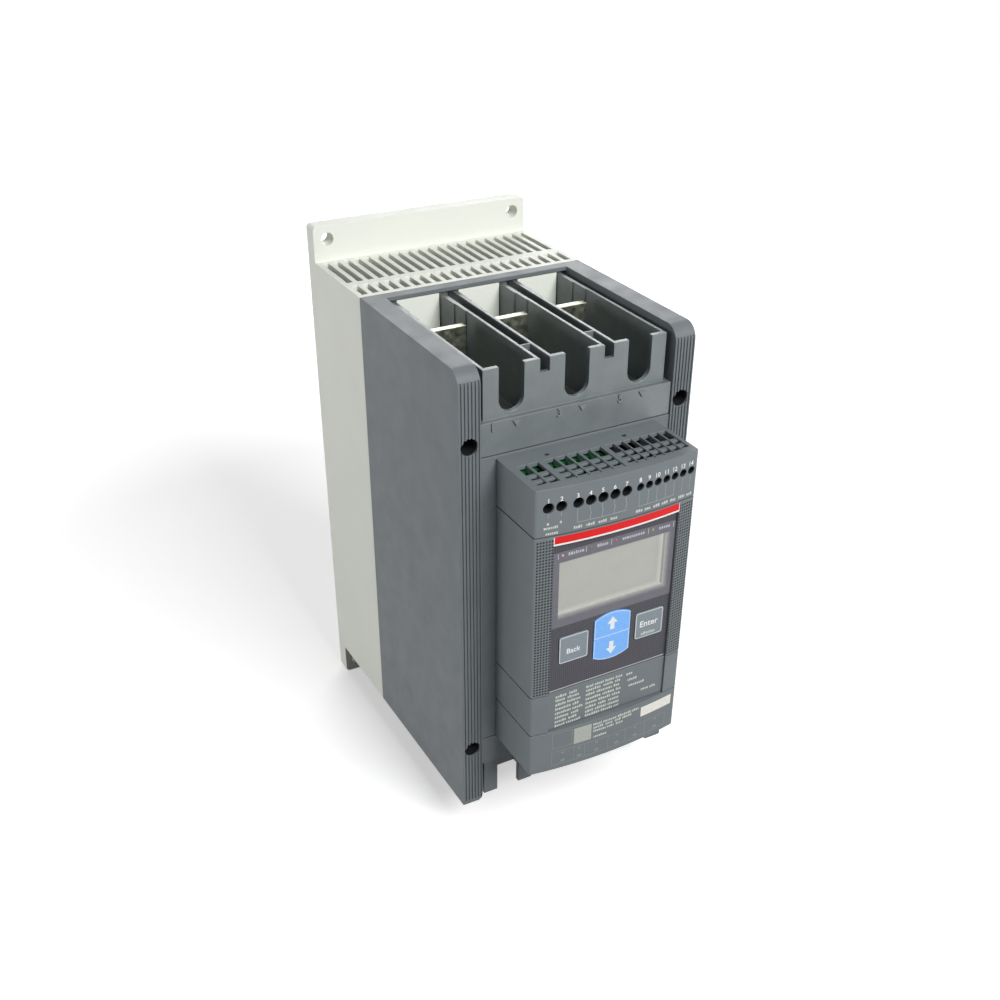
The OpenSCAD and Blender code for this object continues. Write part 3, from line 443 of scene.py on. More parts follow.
# Shapes of the printed marks: thin closed plates laid on a surface.
# Block and word sizes are shares of the row's height.
PRINT_RISE = 0.04
PRINT_SINK = 0.05
CURVE_STEP = 2.5
CORNER_STEPS = 4
LETTER_WEIGHT = 0.012
LETTER_STEPS = 3
BLOCK_WIDTHS = (0.42, 0.5, 0.58, 0.66)
BLOCK_HEIGHTS = (0.78, 0.78, 1.0)
BLOCK_GAP = 0.24
LEAST_BLOCK = 0.3
WORD_LENGTHS = (2.5, 6.0)
WORD_GAP = 0.6
LEAST_WORD = 1.5
LENS_SIDES = 16
LENS_STEPS = 4
SEEDS = {"terminal_words": 3, "light_marks": 5, "small_word": 7, "band_words": 11, "lower_words": 13}


def plate(bm, outline, surface, rise=PRINT_RISE):
    """Plate with a small outline of (x, z) points."""
    upper = [bm.verts.new(at(x, surface(x) + rise, z)) for x, z in outline]
    lower = [bm.verts.new(at(x, surface(x) - PRINT_SINK, z)) for x, z in outline]
    bm.faces.new(upper)
    bm.faces.new(lower)
    for i in range(len(outline)):
        bm.faces.new((upper[i - 1], upper[i], lower[i], lower[i - 1]))


def strip(bm, lower_edge, upper_edge, surface):
    """Plate between two rows of (x, z) points, which follows a curved surface."""
    rows = []
    for edge in (lower_edge, upper_edge):
        for lift in (PRINT_RISE, -PRINT_SINK):
            rows.append([bm.verts.new(at(x, surface(x) + lift, z)) for x, z in edge])
    low_top, low_base, high_top, high_base = rows
    for first, second in ((low_top, high_top), (high_top, high_base),
                          (high_base, low_base), (low_base, low_top)):
        for i in range(1, len(first)):
            bm.faces.new((first[i - 1], first[i], second[i], second[i - 1]))
    for end in (0, -1):
        bm.faces.new((low_top[end], high_top[end], high_base[end], low_base[end]))


def line(bm, start, end, width, surface):
    """Straight printed line of that width."""
    (x0, z0), (x1, z1) = start, end
    length = math.hypot(x1 - x0, z1 - z0)
    across = ((z0 - z1) / length * width / 2, (x1 - x0) / length * width / 2)
    count = max(1, math.ceil(abs(x1 - x0) / CURVE_STEP))
    points = [(x0 + (x1 - x0) * i / count, z0 + (z1 - z0) * i / count) for i in range(count + 1)]
    lower = [(x - across[0], z - across[1]) for x, z in points]
    upper = [(x + across[0], z + across[1]) for x, z in points]
    strip(bm, lower, upper, surface)


def path(bm, points, width, surface):
    """Printed line through several points."""
    for start, end in zip(points, points[1:]):
        line(bm, start, end, width, surface)


def bar(bm, left, right, low, high, surface):
    """Printed upright rectangle."""
    line(bm, (left, (low + high) / 2), (right, (low + high) / 2), high - low, surface)


def box_outline(bm, left, right, low, high, width, surface):
    """Thin printed frame."""
    inset = width / 2
    line(bm, (left, low + inset), (right, low + inset), width, surface)
    line(bm, (left, high - inset), (right, high - inset), width, surface)
    for x in (left + inset, right - inset):
        line(bm, (x, low + width), (x, high - width), width, surface)


def ring(bm, outer, inner, surface):
    """Plate between two closed outlines with the same number of points."""
    rows = []
    for outline in (outer, inner):
        for lift in (PRINT_RISE, -PRINT_SINK):
            rows.append([bm.verts.new(at(x, surface(x) + lift, z)) for x, z in outline])
    out_top, out_base, in_top, in_base = rows
    for first, second in ((out_top, in_top), (in_top, in_base),
                          (in_base, out_base), (out_base, out_top)):
        for i in range(len(first)):
            bm.faces.new((first[i - 1], first[i], second[i], second[i - 1]))


def round_box(left, right, low, high, radius):
    """Outline of a rectangle with round corners."""
    corners = ((right, high, 0), (left, high, 90), (left, low, 180), (right, low, 270))
    points = []
    for x, z, start in corners:
        centre_x = x - math.copysign(radius, x - (left + right) / 2)
        centre_z = z - math.copysign(radius, z - (low + high) / 2)
        for i in range(CORNER_STEPS + 1):
            angle = math.radians(start + 90 * i / CORNER_STEPS)
            points.append((centre_x + radius * math.cos(angle), centre_z + radius * math.sin(angle)))
    return points


def word(bm, left, right, low, height, surface, draw):
    """Row of plain letter-like blocks that stands for a printed word."""
    x = left
    while x < right - LEAST_BLOCK * height:
        width = height * draw.choice(BLOCK_WIDTHS)
        tall = height * draw.choice(BLOCK_HEIGHTS)
        bar(bm, x, min(x + width, right), low, low + tall, surface)
        x += width + BLOCK_GAP * height


def text_row(bm, left, right, low, height, surface, draw):
    """Row of words."""
    x = left
    while x < right - LEAST_WORD * height:
        end = min(right, x + height * draw.uniform(*WORD_LENGTHS))
        word(bm, x, end, low, height, surface, draw)
        x = end + WORD_GAP * height


def lettering(bm, text, centre_x, low, height, surface, rise=PRINT_RISE):
    """Plain digits or a plain word, centred on a place."""
    curve = bpy.data.curves.new("letters", "FONT")
    curve.body = text
    curve.extrude = 1.0
    curve.offset = LETTER_WEIGHT
    curve.resolution_u = LETTER_STEPS
    holder = bpy.data.objects.new("letters", curve)
    bpy.context.scene.collection.objects.link(holder)
    bpy.context.view_layer.update()
    graph = bpy.context.evaluated_depsgraph_get()
    mesh = bpy.data.meshes.new_from_object(holder.evaluated_get(graph))
    bpy.data.objects.remove(holder)
    bpy.data.curves.remove(curve)
    xs = [v.co.x for v in mesh.vertices]
    ys = [v.co.y for v in mesh.vertices]
    scale = height / (max(ys) - min(ys))
    middle = (max(xs) + min(xs)) / 2
    base = min(ys)
    for v in mesh.vertices:
        x = centre_x + (v.co.x - middle) * scale
        lift = rise if v.co.z > 0 else -PRINT_SINK
        v.co = at(x, surface(x) + lift, low + (v.co.y - base) * scale)
    bm.from_mesh(mesh)
    bpy.data.meshes.remove(mesh)


def circle(x, z, radius, sides):
    """Points of a circle, as (x, z)."""
    turns = [2 * math.pi * i / sides for i in range(sides)]
    return [(x + radius * math.cos(t), z + radius * math.sin(t)) for t in turns]


def dome(bm, x, z, radius, height, surface):
    """Small round lens."""
    rings = []
    for step in range(LENS_STEPS):
        angle = math.pi / 2 * step / LENS_STEPS
        depth = surface(x) + (height * math.sin(angle) - (PRINT_SINK if step == 0 else 0))
        outline = circle(x, z, radius * math.cos(angle), LENS_SIDES)
        rings.append([bm.verts.new(at(px, depth, pz)) for px, pz in outline])
    for first, second in zip(rings, rings[1:]):
        for i in range(LENS_SIDES):
            bm.faces.new((first[i - 1], first[i], second[i], second[i - 1]))
    bm.faces.new(rings[0])
    bm.faces.new(rings[-1])


def finish_marks(bm, name, material, body=HOUSING):
    """Piece from the marks gathered so far."""
    bmesh.ops.remove_doubles(bm, verts=bm.verts, dist=MERGE_M)
    bmesh.ops.recalc_face_normals(bm, faces=bm.faces)
    mesh = bpy.data.meshes.new(name)
    bm.to_mesh(mesh)
    bm.free()
    mesh.materials.append(material)
    return link(name, mesh, body)


WHITE_INK = print_ink("white_ink", linear(236, 239, 238))
PALE_INK = print_ink("pale_ink", linear(201, 207, 198))
WIRE_INK = print_ink("wire_ink", linear(150, 158, 156))
FAINT_INK = print_ink("faint_ink", linear(136, 145, 142))
# Dark dots of the grips: painted shade of recessed dimples
DIMPLE_SHADE = print_ink("dimple_shade", linear(34, 38, 40))
RED_INK = print_ink("red_ink", linear(218, 28, 31), SATIN_INK_ROUGH)
BEZEL_INK = print_ink("bezel_ink", linear(108, 107, 115), SATIN_INK_ROUGH)
KEY_LINE_INK = print_ink("key_line_ink", linear(204, 212, 216))
BLUE_LINE_INK = print_ink("blue_line_ink", linear(204, 226, 252))

# Terminals: how many there are in each group, and how far apart
WIDE_PITCH = 6.45
NARROW_PITCH = 5.17
SUPPLY_COUNT = 2
RELAY_COUNT = 5
SIGNAL_COUNT = 7


def pole_rows(supply_x, relay_x, signal_x):
    """Places of the supply, relay and signal poles, from the first place of each."""
    supply = [supply_x + WIDE_PITCH * i for i in range(SUPPLY_COUNT)]
    relay = [relay_x + WIDE_PITCH * i for i in range(RELAY_COUNT)]
    signal = [signal_x + NARROW_PITCH * i for i in range(SIGNAL_COUNT)]
    return supply, relay, signal


# Terminal cover: plain numbers, wiring signs and words as blocks
PRINT_STARTS = (-38.5, -23.9, 9.6)
SUPPLY_POLES, RELAY_POLES, SIGNAL_POLES = pole_rows(*PRINT_STARTS)
NUMBER_LOW = 73.9
NUMBER_H = 2.3
SIGNALS_JOINED = 5
WIRE_W = 0.32
WIRE_TOP = 68.3
WIRE_LOW = 61.0
CONTACT_STEM = 2
CONTACT_TIP = (0.9, 4.4)
CONTACT_FOOT = (0.3, 4.2)
SIGNAL_RISE = 0.4
SUPPLY_LEAD = 2.2
WORD_LOW = 57.8
WORD_H = 1.5
RELAY_WORD = (-1.6, 2.7)
SIGNAL_WORD = (-1.5, 2.3)
SUPPLY_WORD = (-0.6, 0.9)
SUPPLY_WORD_LOW = 62.4
SUPPLY_ROWS = ((-40.6, -33.6, 60.2), (-39.6, -33.3, 57.2))
SUPPLY_ROW_H = 1.4


def terminal_numbers():
    """Plain numbers over the screw holes."""
    bm = bmesh.new()
    for i, x in enumerate(SUPPLY_POLES + RELAY_POLES + SIGNAL_POLES):
        lettering(bm, str(i + 1), x, NUMBER_LOW, NUMBER_H, curved_front)
    finish_marks(bm, "terminal_numbers", WHITE_INK)


def wiring_signs():
    """Contact signs under the relay poles and leads under the signal poles."""
    bm = bmesh.new()
    first, last = RELAY_POLES[0], RELAY_POLES[-1]
    path(bm, [(first, WIRE_TOP), (first, WIRE_LOW)], WIRE_W, curved_front)
    tip_x, tip_drop = CONTACT_TIP
    foot_x, foot_drop = CONTACT_FOOT
    for x in RELAY_POLES[1:]:
        blade = [(x, WIRE_TOP), (x, WIRE_TOP - CONTACT_STEM), (x + tip_x, WIRE_TOP - tip_drop)]
        path(bm, blade, WIRE_W, curved_front)
        path(bm, [(x + foot_x, WIRE_TOP - foot_drop), (x + foot_x, WIRE_LOW)], WIRE_W, curved_front)
    line(bm, (first, WIRE_LOW), (last + foot_x, WIRE_LOW), WIRE_W, curved_front)
    for x in SIGNAL_POLES:
        line(bm, (x, WIRE_TOP + SIGNAL_RISE), (x, WIRE_LOW), WIRE_W, curved_front)
    joined = SIGNAL_POLES[:SIGNALS_JOINED]
    line(bm, (joined[0], WIRE_LOW), (joined[-1], WIRE_LOW), WIRE_W, curved_front)
    for x in SUPPLY_POLES:
        line(bm, (x, WIRE_TOP), (x, WIRE_TOP - SUPPLY_LEAD), WIRE_W, curved_front)
    finish_marks(bm, "wiring_signs", WIRE_INK)


def terminal_words():
    """Words as blocks under the terminals."""
    bm = bmesh.new()
    draw = random.Random(SEEDS["terminal_words"])
    for poles, (left, right), low in ((RELAY_POLES[:-1], RELAY_WORD, WORD_LOW),
                                      (SIGNAL_POLES, SIGNAL_WORD, WORD_LOW),
                                      (SUPPLY_POLES, SUPPLY_WORD, SUPPLY_WORD_LOW)):
        for x in poles:
            word(bm, x + left, x + right, low, WORD_H, curved_front, draw)
    for left, right, low in SUPPLY_ROWS:
        word(bm, left, right, low, SUPPLY_ROW_H, curved_front, draw)
    finish_marks(bm, "terminal_words", PALE_INK)


# Panel housing: bare coloured strip above the overlay, and grips at both sides whose recessed dimples are
# painted as dark dots of shade
STRIP_LEFT = -35.4
STRIP_RIGHT = 35.4
STRIP_LOW = 51.4
STRIP_HIGH = 55.2
STRIP_RULE = 50.5
STRIP_LEFT_RIM = 0.4
STRIP_RIGHT_RIM = 0.3
DOT_PITCH_X = 1.5
DOT_PITCH_Z = 1.63
DOT_R = 0.56
DOT_SIDES = 8
DOT_COLUMNS = 6
DOT_ROWS = 55
GRIP_INNER = 35.9
GRIP_LOW = -34.5


def colour_strip():
    """Bare red strip with a white rule below it and a white rim at each end."""
    left = STRIP_LEFT + STRIP_LEFT_RIM
    right = STRIP_RIGHT - STRIP_RIGHT_RIM
    bm = bmesh.new()
    bar(bm, left, right, STRIP_LOW, STRIP_HIGH, curved_front)
    finish_marks(bm, "colour_strip", RED_INK)
    bm = bmesh.new()
    bar(bm, STRIP_LEFT, STRIP_RIGHT, STRIP_RULE, STRIP_LOW, curved_front)
    bar(bm, STRIP_LEFT, left, STRIP_LOW, STRIP_HIGH, curved_front)
    bar(bm, right, STRIP_RIGHT, STRIP_LOW, STRIP_HIGH, curved_front)
    finish_marks(bm, "colour_strip_rule", WHITE_INK)


def grip_dimple_shade():
    """Dark dots of the grips at both sides of the overlay: painted shade of their recessed dimples."""
    bm = bmesh.new()
    turns = [math.radians((i + 0.5) * 360 / DOT_SIDES) for i in range(DOT_SIDES)]
    for side in (-1, 1):
        for column in range(DOT_COLUMNS):
            x = side * (GRIP_INNER + column * DOT_PITCH_X)
            for row in range(DOT_ROWS):
                z = GRIP_LOW + row * DOT_PITCH_Z
                outline = [(x + DOT_R * math.cos(a), z + DOT_R * math.sin(a)) for a in turns]
                plate(bm, outline, curved_front)
    finish_marks(bm, "grip_dimple_shade", DIMPLE_SHADE)


# Overlay: field round the display, rules and words as blocks beside the lights
DISPLAY_LEFT = -31.0
DISPLAY_RIGHT = 29.5
DISPLAY_LOW = 9.95
DISPLAY_HIGH = 39.45
FIELD_LEFT = -34.4
FIELD_RIGHT = 35.0
FIELD_LOW = 2.5
FIELD_HIGH = 45.2
FIELD_CORNER = 0.6
DISPLAY_CORNER = 0.1
RULES_X = (-31.8, -16.4, -2.2, 19.0, 33.7)
RULE_W = 0.35
RULE_LOW = 41.6
RULE_HIGH = 44.6
BASE_RULE = (-35.8, -35.3)
BASE_RULE_INSET = 0.4
# Bands at the display's right and lower edges: painted shade, graded from the display's tone to the field's
EDGE_BANDS = 5
EDGE_BAND_W = 0.6
EDGE_SLOPE = 0.9
DISPLAY_TONE = (174, 175, 169)
FIELD_TONE = (112, 111, 118)
LIGHT_WORD_LOW = 42.3
LIGHT_WORD_H = 1.7
LIGHT_WORDS = ((-26.2, -17.4), (-10.2, -4.2), (4.0, 17.2), (25.2, 31.8))
LIGHT_X = (-29.4, -13.6, 0.4, 21.6)
LIGHT_Z = 43.2
LIGHT_R = 0.7
LIGHT_RISE = 0.35
LIGHT_ROUGH = 0.22
LIGHT_COLOURS = ((214, 170, 166), (124, 116, 78), (188, 96, 88), (168, 164, 104))


def display_field():
    """Printed field round the display."""
    bm = bmesh.new()
    outer = round_box(FIELD_LEFT, FIELD_RIGHT, FIELD_LOW, FIELD_HIGH, FIELD_CORNER)
    inner = round_box(DISPLAY_LEFT, DISPLAY_RIGHT, DISPLAY_LOW, DISPLAY_HIGH, DISPLAY_CORNER)
    ring(bm, outer, inner, flat_front)
    finish_marks(bm, "display_field", BEZEL_INK)


def field_print(x):
    """Depth of marks that are printed on the field."""
    return FLAT_D + PRINT_RISE


def prism(bm, first, second):
    """Closed prism between two triangles of (x, depth, z) points."""
    ends = [[bm.verts.new(at(*point)) for point in corners] for corners in (first, second)]
    bm.faces.new(ends[0])
    bm.faces.new(ends[1])
    for i in range(3):
        bm.faces.new((ends[0][i - 1], ends[0][i], ends[1][i], ends[1][i - 1]))


def edge_wedges(bm):
    """Sloped pale rims from the window up to the film, at the right and lower sides: painted light that
    covers the shaded cut edge of the film.
    """
    back = -extent("display_window")[0].y
    front = FLAT_D + 2 * PRINT_RISE
    inner = DISPLAY_RIGHT - EDGE_SLOPE
    upper = DISPLAY_LOW + EDGE_SLOPE
    prism(bm, *[[(inner, back, z), (DISPLAY_RIGHT, back, z), (DISPLAY_RIGHT, front, z)]
                for z in (DISPLAY_LOW, DISPLAY_HIGH)])
    prism(bm, *[[(x, back, upper), (x, back, DISPLAY_LOW), (x, front, DISPLAY_LOW)]
                for x in (DISPLAY_LEFT, DISPLAY_RIGHT)])


def display_shade_bands():
    """Soft border at the display's right and lower sides, in a few tones from the display's to the field's:
    painted shade of the display's recessed edge.
    """
    for i in range(EDGE_BANDS):
        share = (i + 0.5) / EDGE_BANDS
        tone = [a + (b - a) * share for a, b in zip(DISPLAY_TONE, FIELD_TONE)]
        near = i * EDGE_BAND_W
        far = near + EDGE_BAND_W
        bm = bmesh.new()
        right = DISPLAY_RIGHT + far
        low = DISPLAY_LOW - near
        bar(bm, DISPLAY_RIGHT + near, right, low, DISPLAY_HIGH, field_print)
        bar(bm, DISPLAY_LEFT, right, DISPLAY_LOW - far, low, field_print)
        if i == 0:
            edge_wedges(bm)
        ink = print_ink(f"edge_shade_{i + 1}", linear(*tone), SATIN_INK_ROUGH)
        finish_marks(bm, f"display_edge_{i + 1}", ink)


def light_marks():
    """Rules and words as blocks beside the lights, and the rule at the overlay's lower edge."""
    bm = bmesh.new()
    draw = random.Random(SEEDS["light_marks"])
    for x in RULES_X:
        bar(bm, x - RULE_W / 2, x + RULE_W / 2, RULE_LOW, RULE_HIGH, field_print)
    for left, right in LIGHT_WORDS:
        word(bm, left, right, LIGHT_WORD_LOW, LIGHT_WORD_H, field_print, draw)
    bar(bm, overlay_low.x + BASE_RULE_INSET, overlay_high.x - BASE_RULE_INSET, *BASE_RULE, flat_front)
    finish_marks(bm, "light_marks", print_ink("light_mark_ink", linear(186, 186, 192)))


def light_lenses():
    """Small lens over each status light."""
    for i, (x, colour) in enumerate(zip(LIGHT_X, LIGHT_COLOURS)):
        bm = bmesh.new()
        dome(bm, x, LIGHT_Z, LIGHT_R, LIGHT_RISE, field_print)
        lens_ink = print_ink(f"light_{i + 1}", linear(*colour), LIGHT_ROUGH)
        finish_marks(bm, f"light_lens_{i + 1}", lens_ink)


# Keys: outlines, plain words and arrows, which move with the keys.
# A word has its middle, base and height, and an arrow its base and its way.
KEY_FLANGE = 0.8
KEY_LINE = 0.5
KEY_EDGE = 0.2
KEY_CORNER = 1.0
ARROW_LINE = 0.4
ARROW_RISE = 2.8
ARROW_ARC_STEPS = 12
DIVIDER_H = 0.5
KEY_WORDS = {"exit_key": ("Back", -21.35, -14.8, 3.0), "select_key": ("Enter", 23.4, -13.2, 3.6)}
SMALL_WORD = (19.0, 27.6, -18.2, 1.7)
ARROW_W = 6.0
ARROW_STEM = 2.5
ARROW_H = 7.6
ARROW_HEAD = 3.8
ARROW_X = 1.0
ARROW_ENDS = {"up_key": (-8.3, 1), "down_key": (-15.7, -1)}


def key_front(node):
    """Surface function of a key's flat front."""
    depth = -extent(node)[0].y
    return lambda x: depth


def square_key_outline(node, inset):
    """Outline of a grey key's front, drawn in by inset."""
    low, high = extent(node)
    edge = KEY_FLANGE + inset
    radius = KEY_CORNER + KEY_EDGE - inset
    return round_box(low.x + edge, high.x - edge, low.z + edge, high.z - edge, radius)


def arrow_key_border(node, inset):
    """Sides and round end of a blue key's front, drawn in by inset."""
    low, high = extent(node)
    way = ARROW_ENDS[node][1]
    half = (high.x - low.x) / 2 - KEY_FLANGE
    radius = (half ** 2 + ARROW_RISE ** 2) / (2 * ARROW_RISE)
    middle = (low.x + high.x) / 2
    end = (high.z if way > 0 else low.z) - way * KEY_FLANGE
    split = low.z if way > 0 else high.z
    half -= inset
    points = [(middle + half, split)]
    for i in range(ARROW_ARC_STEPS + 1):
        x = half - 2 * half * i / ARROW_ARC_STEPS
        points.append((middle + x, end - way * (radius - math.sqrt((radius - inset) ** 2 - x ** 2))))
    return points + [(middle - half, split)]


def square_key_marks(node):
    """Outline and words of a grey key."""
    surface = key_front(node)
    bm = bmesh.new()
    outer, inner = [square_key_outline(node, inset) for inset in (KEY_EDGE, KEY_EDGE + KEY_LINE)]
    ring(bm, outer, inner, surface)
    finish_marks(bm, node + "_outline", KEY_LINE_INK, BODY_OF[node])
    text, x, base, height = KEY_WORDS[node]
    bm = bmesh.new()
    lettering(bm, text, x, base, height, surface)
    finish_marks(bm, node + "_word", WHITE_INK, BODY_OF[node])
    if node == "select_key":
        bm = bmesh.new()
        word(bm, *SMALL_WORD, surface, random.Random(SEEDS["small_word"]))
        finish_marks(bm, node + "_small_word", PALE_INK, BODY_OF[node])


def arrow_key_marks(node):
    """Arrow and outline of a blue key, with the divider between the two keys."""
    surface = key_front(node)
    base, way = ARROW_ENDS[node]
    half, stem = ARROW_W / 2, ARROW_STEM / 2
    neck = base + way * (ARROW_H - ARROW_HEAD)
    tip = base + way * ARROW_H
    outline = [(ARROW_X - stem, base), (ARROW_X + stem, base), (ARROW_X + stem, neck),
               (ARROW_X + half, neck), (ARROW_X, tip), (ARROW_X - half, neck), (ARROW_X - stem, neck)]
    bm = bmesh.new()
    plate(bm, outline, surface)
    finish_marks(bm, node + "_arrow", WHITE_INK, BODY_OF[node])
    bm = bmesh.new()
    outer, inner = [arrow_key_border(node, inset) for inset in (KEY_EDGE, KEY_EDGE + ARROW_LINE)]
    strip(bm, outer, inner, surface)
    if node == "up_key":
        low, high = extent(node)
        edge = KEY_FLANGE + KEY_EDGE + ARROW_LINE
        bar(bm, low.x + edge, high.x - edge, low.z, low.z + DIVIDER_H, surface)
    finish_marks(bm, node + "_outline", BLUE_LINE_INK, BODY_OF[node])


# Label band and lower cover: words as blocks, frames and bare stickers.
# A row has its left, right and base, a field's block its half width and its two distances
# from the frame, and a box its left, right, low and high sides.
BAND_ROWS = (-41.0, -43.4, -46.1, -48.9, -51.6, -54.3, -57.0, -59.6)
BAND_ROW_H = 1.6
BAND_BLOCKS = ((-30.6, -14.0), (-12.4, 9.6))
BAND_RAGGED = 2.5
BAND_SIDE_ROWS = ((12.0, 19.5, -41.6), (13.0, 22.5, -45.6), (14.0, 23.5, -49.4), (22.0, 31.5, -54.8))
FRAME_LINE = 0.28
LOWER_ROWS = ((-9.2, 20.0, -64.2), (-9.1, 15.0, -66.3), (-9.0, 9.2, -68.6), (-8.8, 0.5, -72.4))
LOWER_ROW_H = 1.5
FRAME_LEFT = -32.9
FRAME_RIGHT = 38.5
FRAME_LOW = -83.0
FRAME_HIGH = -74.3
FRAME_DIVIDERS = (-20.2, -13.7, 0.5, 11.6, 24.4)
SIGN_BOX = (-32.8, -21.4, -72.0, -62.0)
FIELD_BLOCK_LOW = (1.3, 1.2, 2.6)
FIELD_BLOCK_HIGH = (0.8, 2.2, 1.2)
PAPER_ROUGH = 0.6
PLAIN_SQUARE = (-20.4, -10.2, -72.5, -62.4)
STICKER = (21.0, 41.8, -70.2, -64.0)


def band_words():
    """Rows of words as blocks on the label band."""
    bm = bmesh.new()
    draw = random.Random(SEEDS["band_words"])
    for z in BAND_ROWS:
        for left, right in BAND_BLOCKS:
            end = right - draw.uniform(0, BAND_RAGGED)
            text_row(bm, left, end, z, BAND_ROW_H, flat_front, draw)
    for left, right, z in BAND_SIDE_ROWS:
        text_row(bm, left, right, z, BAND_ROW_H, flat_front, draw)
    finish_marks(bm, "band_words", PALE_INK)


def lower_words():
    """Rows of words as blocks on the lower cover."""
    bm = bmesh.new()
    draw = random.Random(SEEDS["lower_words"])
    for left, right, z in LOWER_ROWS:
        text_row(bm, left, right, z, LOWER_ROW_H, curved_front, draw)
    finish_marks(bm, "lower_words", PALE_INK)


def lower_frames():
    """Thin frames with two plain blocks in each field."""
    bm = bmesh.new()
    low_half, low_from, low_to = FIELD_BLOCK_LOW
    high_half, high_from, high_to = FIELD_BLOCK_HIGH
    box_outline(bm, *SIGN_BOX, FRAME_LINE, curved_front)
    box_outline(bm, FRAME_LEFT, FRAME_RIGHT, FRAME_LOW, FRAME_HIGH, FRAME_LINE, curved_front)
    for x in FRAME_DIVIDERS:
        line(bm, (x, FRAME_LOW + FRAME_LINE), (x, FRAME_HIGH - FRAME_LINE), FRAME_LINE, curved_front)
    edges = (FRAME_LEFT, *FRAME_DIVIDERS, FRAME_RIGHT)
    for left, right in zip(edges, edges[1:]):
        middle = (left + right) / 2
        bar(bm, middle - low_half, middle + low_half, FRAME_LOW + low_from, FRAME_LOW + low_to, curved_front)
        bar(bm, middle - high_half, middle + high_half, FRAME_HIGH - high_from, FRAME_HIGH - high_to,
            curved_front)
    finish_marks(bm, "lower_frames", FAINT_INK)


def bare_stickers():
    """Bare paper sticker and plain square."""
    bm = bmesh.new()
    bar(bm, *STICKER, curved_front)
    finish_marks(bm, "bare_sticker", print_ink("sticker_paper", linear(234, 233, 226), PAPER_ROUGH))
    bm = bmesh.new()
    bar(bm, *PLAIN_SQUARE, curved_front)
    finish_marks(bm, "plain_square", print_ink("square_ink", linear(176, 180, 172), PAPER_ROUGH))


# Line insert: raised plain numbers and triangles on the marking panel
RAISED = 0.8
NUMBER_X = (-47.1, -11.2, 23.1)
RAISED_LOW = 95.4
RAISED_H = 4.2
TRIANGLE_SHIFT = 12.8
TRIANGLE_HALF = 2.0
TRIANGLE_TOP = 1.2
TRIANGLE_TIP = 1.8


def raised_numbers():
    """The numbers 1, 3 and 5 with a triangle each, moulded on the panel."""
    bm = bmesh.new()
    middle = RAISED_LOW + RAISED_H / 2
    for i, x in enumerate(NUMBER_X):
        lettering(bm, str(2 * i + 1), x, RAISED_LOW, RAISED_H, panel_front, RAISED)
        centre = x + TRIANGLE_SHIFT
        top = middle + TRIANGLE_TOP
        outline = [(centre - TRIANGLE_HALF, top), (centre + TRIANGLE_HALF, top),
                   (centre, middle - TRIANGLE_TIP)]
        plate(bm, outline, panel_front, RAISED)
    # Lighter tone than the panel: painted highlight on the raised faces
    painted_highlight = plastic("painted_highlight_plastic", linear(122, 129, 131), 0.5, 0.05, 8)
    made = finish_marks(bm, "raised_numbers", painted_highlight)


# Dark bushes in the screw holes and wells, painted shade for their dark insides, and dark pips on the
# terminal cover
POLE_Z = 71.0
HOLE_STARTS = (-38.4, -23.45, 9.98)
HOLE_RADII = (2.7, 2.7, 2.0)
POLE_BUSH_BACK = 211.9
WELL_X = 59.15
WELL_Z = 90.0
WELL_R = 4.4
WELL_BACK = 155.0
WELL_FRONT = 179.4
BUSH_T = 0.14
BUSH_SUNK = 0.9
BUSH_SIDES = 28
BUSH_FIT = 0.02
PIP_X = 21.7
PIP_DEPTH = 187.3
PIP_R = 1.1
PIP_LOW = 79.98
PIP_HIGH = 80.9


def bush(bm, x, z, radius, back, front):
    """Thin lining of a round hole."""
    outer = radius + BUSH_FIT
    inner = radius - BUSH_T
    rows = []
    for r, depth in ((outer, back), (outer, front), (inner, front), (inner, back)):
        rows.append([bm.verts.new(at(px, depth, pz)) for px, pz in circle(x, z, r, BUSH_SIDES)])
    for first, second in zip(rows, rows[1:] + rows[:1]):
        for i in range(BUSH_SIDES):
            bm.faces.new((first[i - 1], first[i], second[i], second[i - 1]))


def painted_shade_bushes():
    """Dark linings of the terminal holes and the screw wells: painted shade that darkens their insides."""
    bm = bmesh.new()
    for poles, radius in zip(pole_rows(*HOLE_STARTS), HOLE_RADII):
        for x in poles:
            bush(bm, x, POLE_Z, radius, POLE_BUSH_BACK, curved_front(x) - BUSH_SUNK)
    for sign_x in (-1, 1):
        for sign_z in (-1, 1):
            bush(bm, sign_x * WELL_X, sign_z * WELL_Z, WELL_R, WELL_BACK, WELL_FRONT)
    made = finish_marks(bm, "painted_shade_bushes", MATERIALS["black_plastic"])


def cover_pips():
    """Dark plugs in the two small holes on top of the terminal cover."""
    bm = bmesh.new()
    for sign in (-1, 1):
        points = circle(sign * PIP_X, PIP_DEPTH, PIP_R - BUSH_FIT, BUSH_SIDES)
        lower = [bm.verts.new(at(x, depth, PIP_LOW)) for x, depth in points]
        upper = [bm.verts.new(at(x, depth, PIP_HIGH)) for x, depth in points]
        bm.faces.new(lower)
        bm.faces.new(upper)
        for i in range(BUSH_SIDES):
            bm.faces.new((lower[i - 1], lower[i], upper[i], upper[i - 1]))
    made = finish_marks(bm, "cover_pips", MATERIALS["black_plastic"])


painted_shade_bushes()
cover_pips()
terminal_numbers()
wiring_signs()
terminal_words()
colour_strip()
grip_dimple_shade()
display_field()
display_shade_bands()
light_marks()
light_lenses()
square_key_marks("exit_key")
square_key_marks("select_key")
arrow_key_marks("up_key")
arrow_key_marks("down_key")
band_words()
lower_words()
lower_frames()
bare_stickers()
raised_numbers()


# Camera, solved from the photograph on the unit's width and height
CAMERA_PLACE = (-0.29196, -0.63647, 0.34449)
CAMERA_TURN = (57.620, -0.375, -28.760)
FOCAL_PIXELS = 1236.67
FRAME_PIXELS = 1000
CENTRE_PIXEL = (506.39, 576.90)
SENSOR_MM = 36
NEAR_CLIP = 0.01


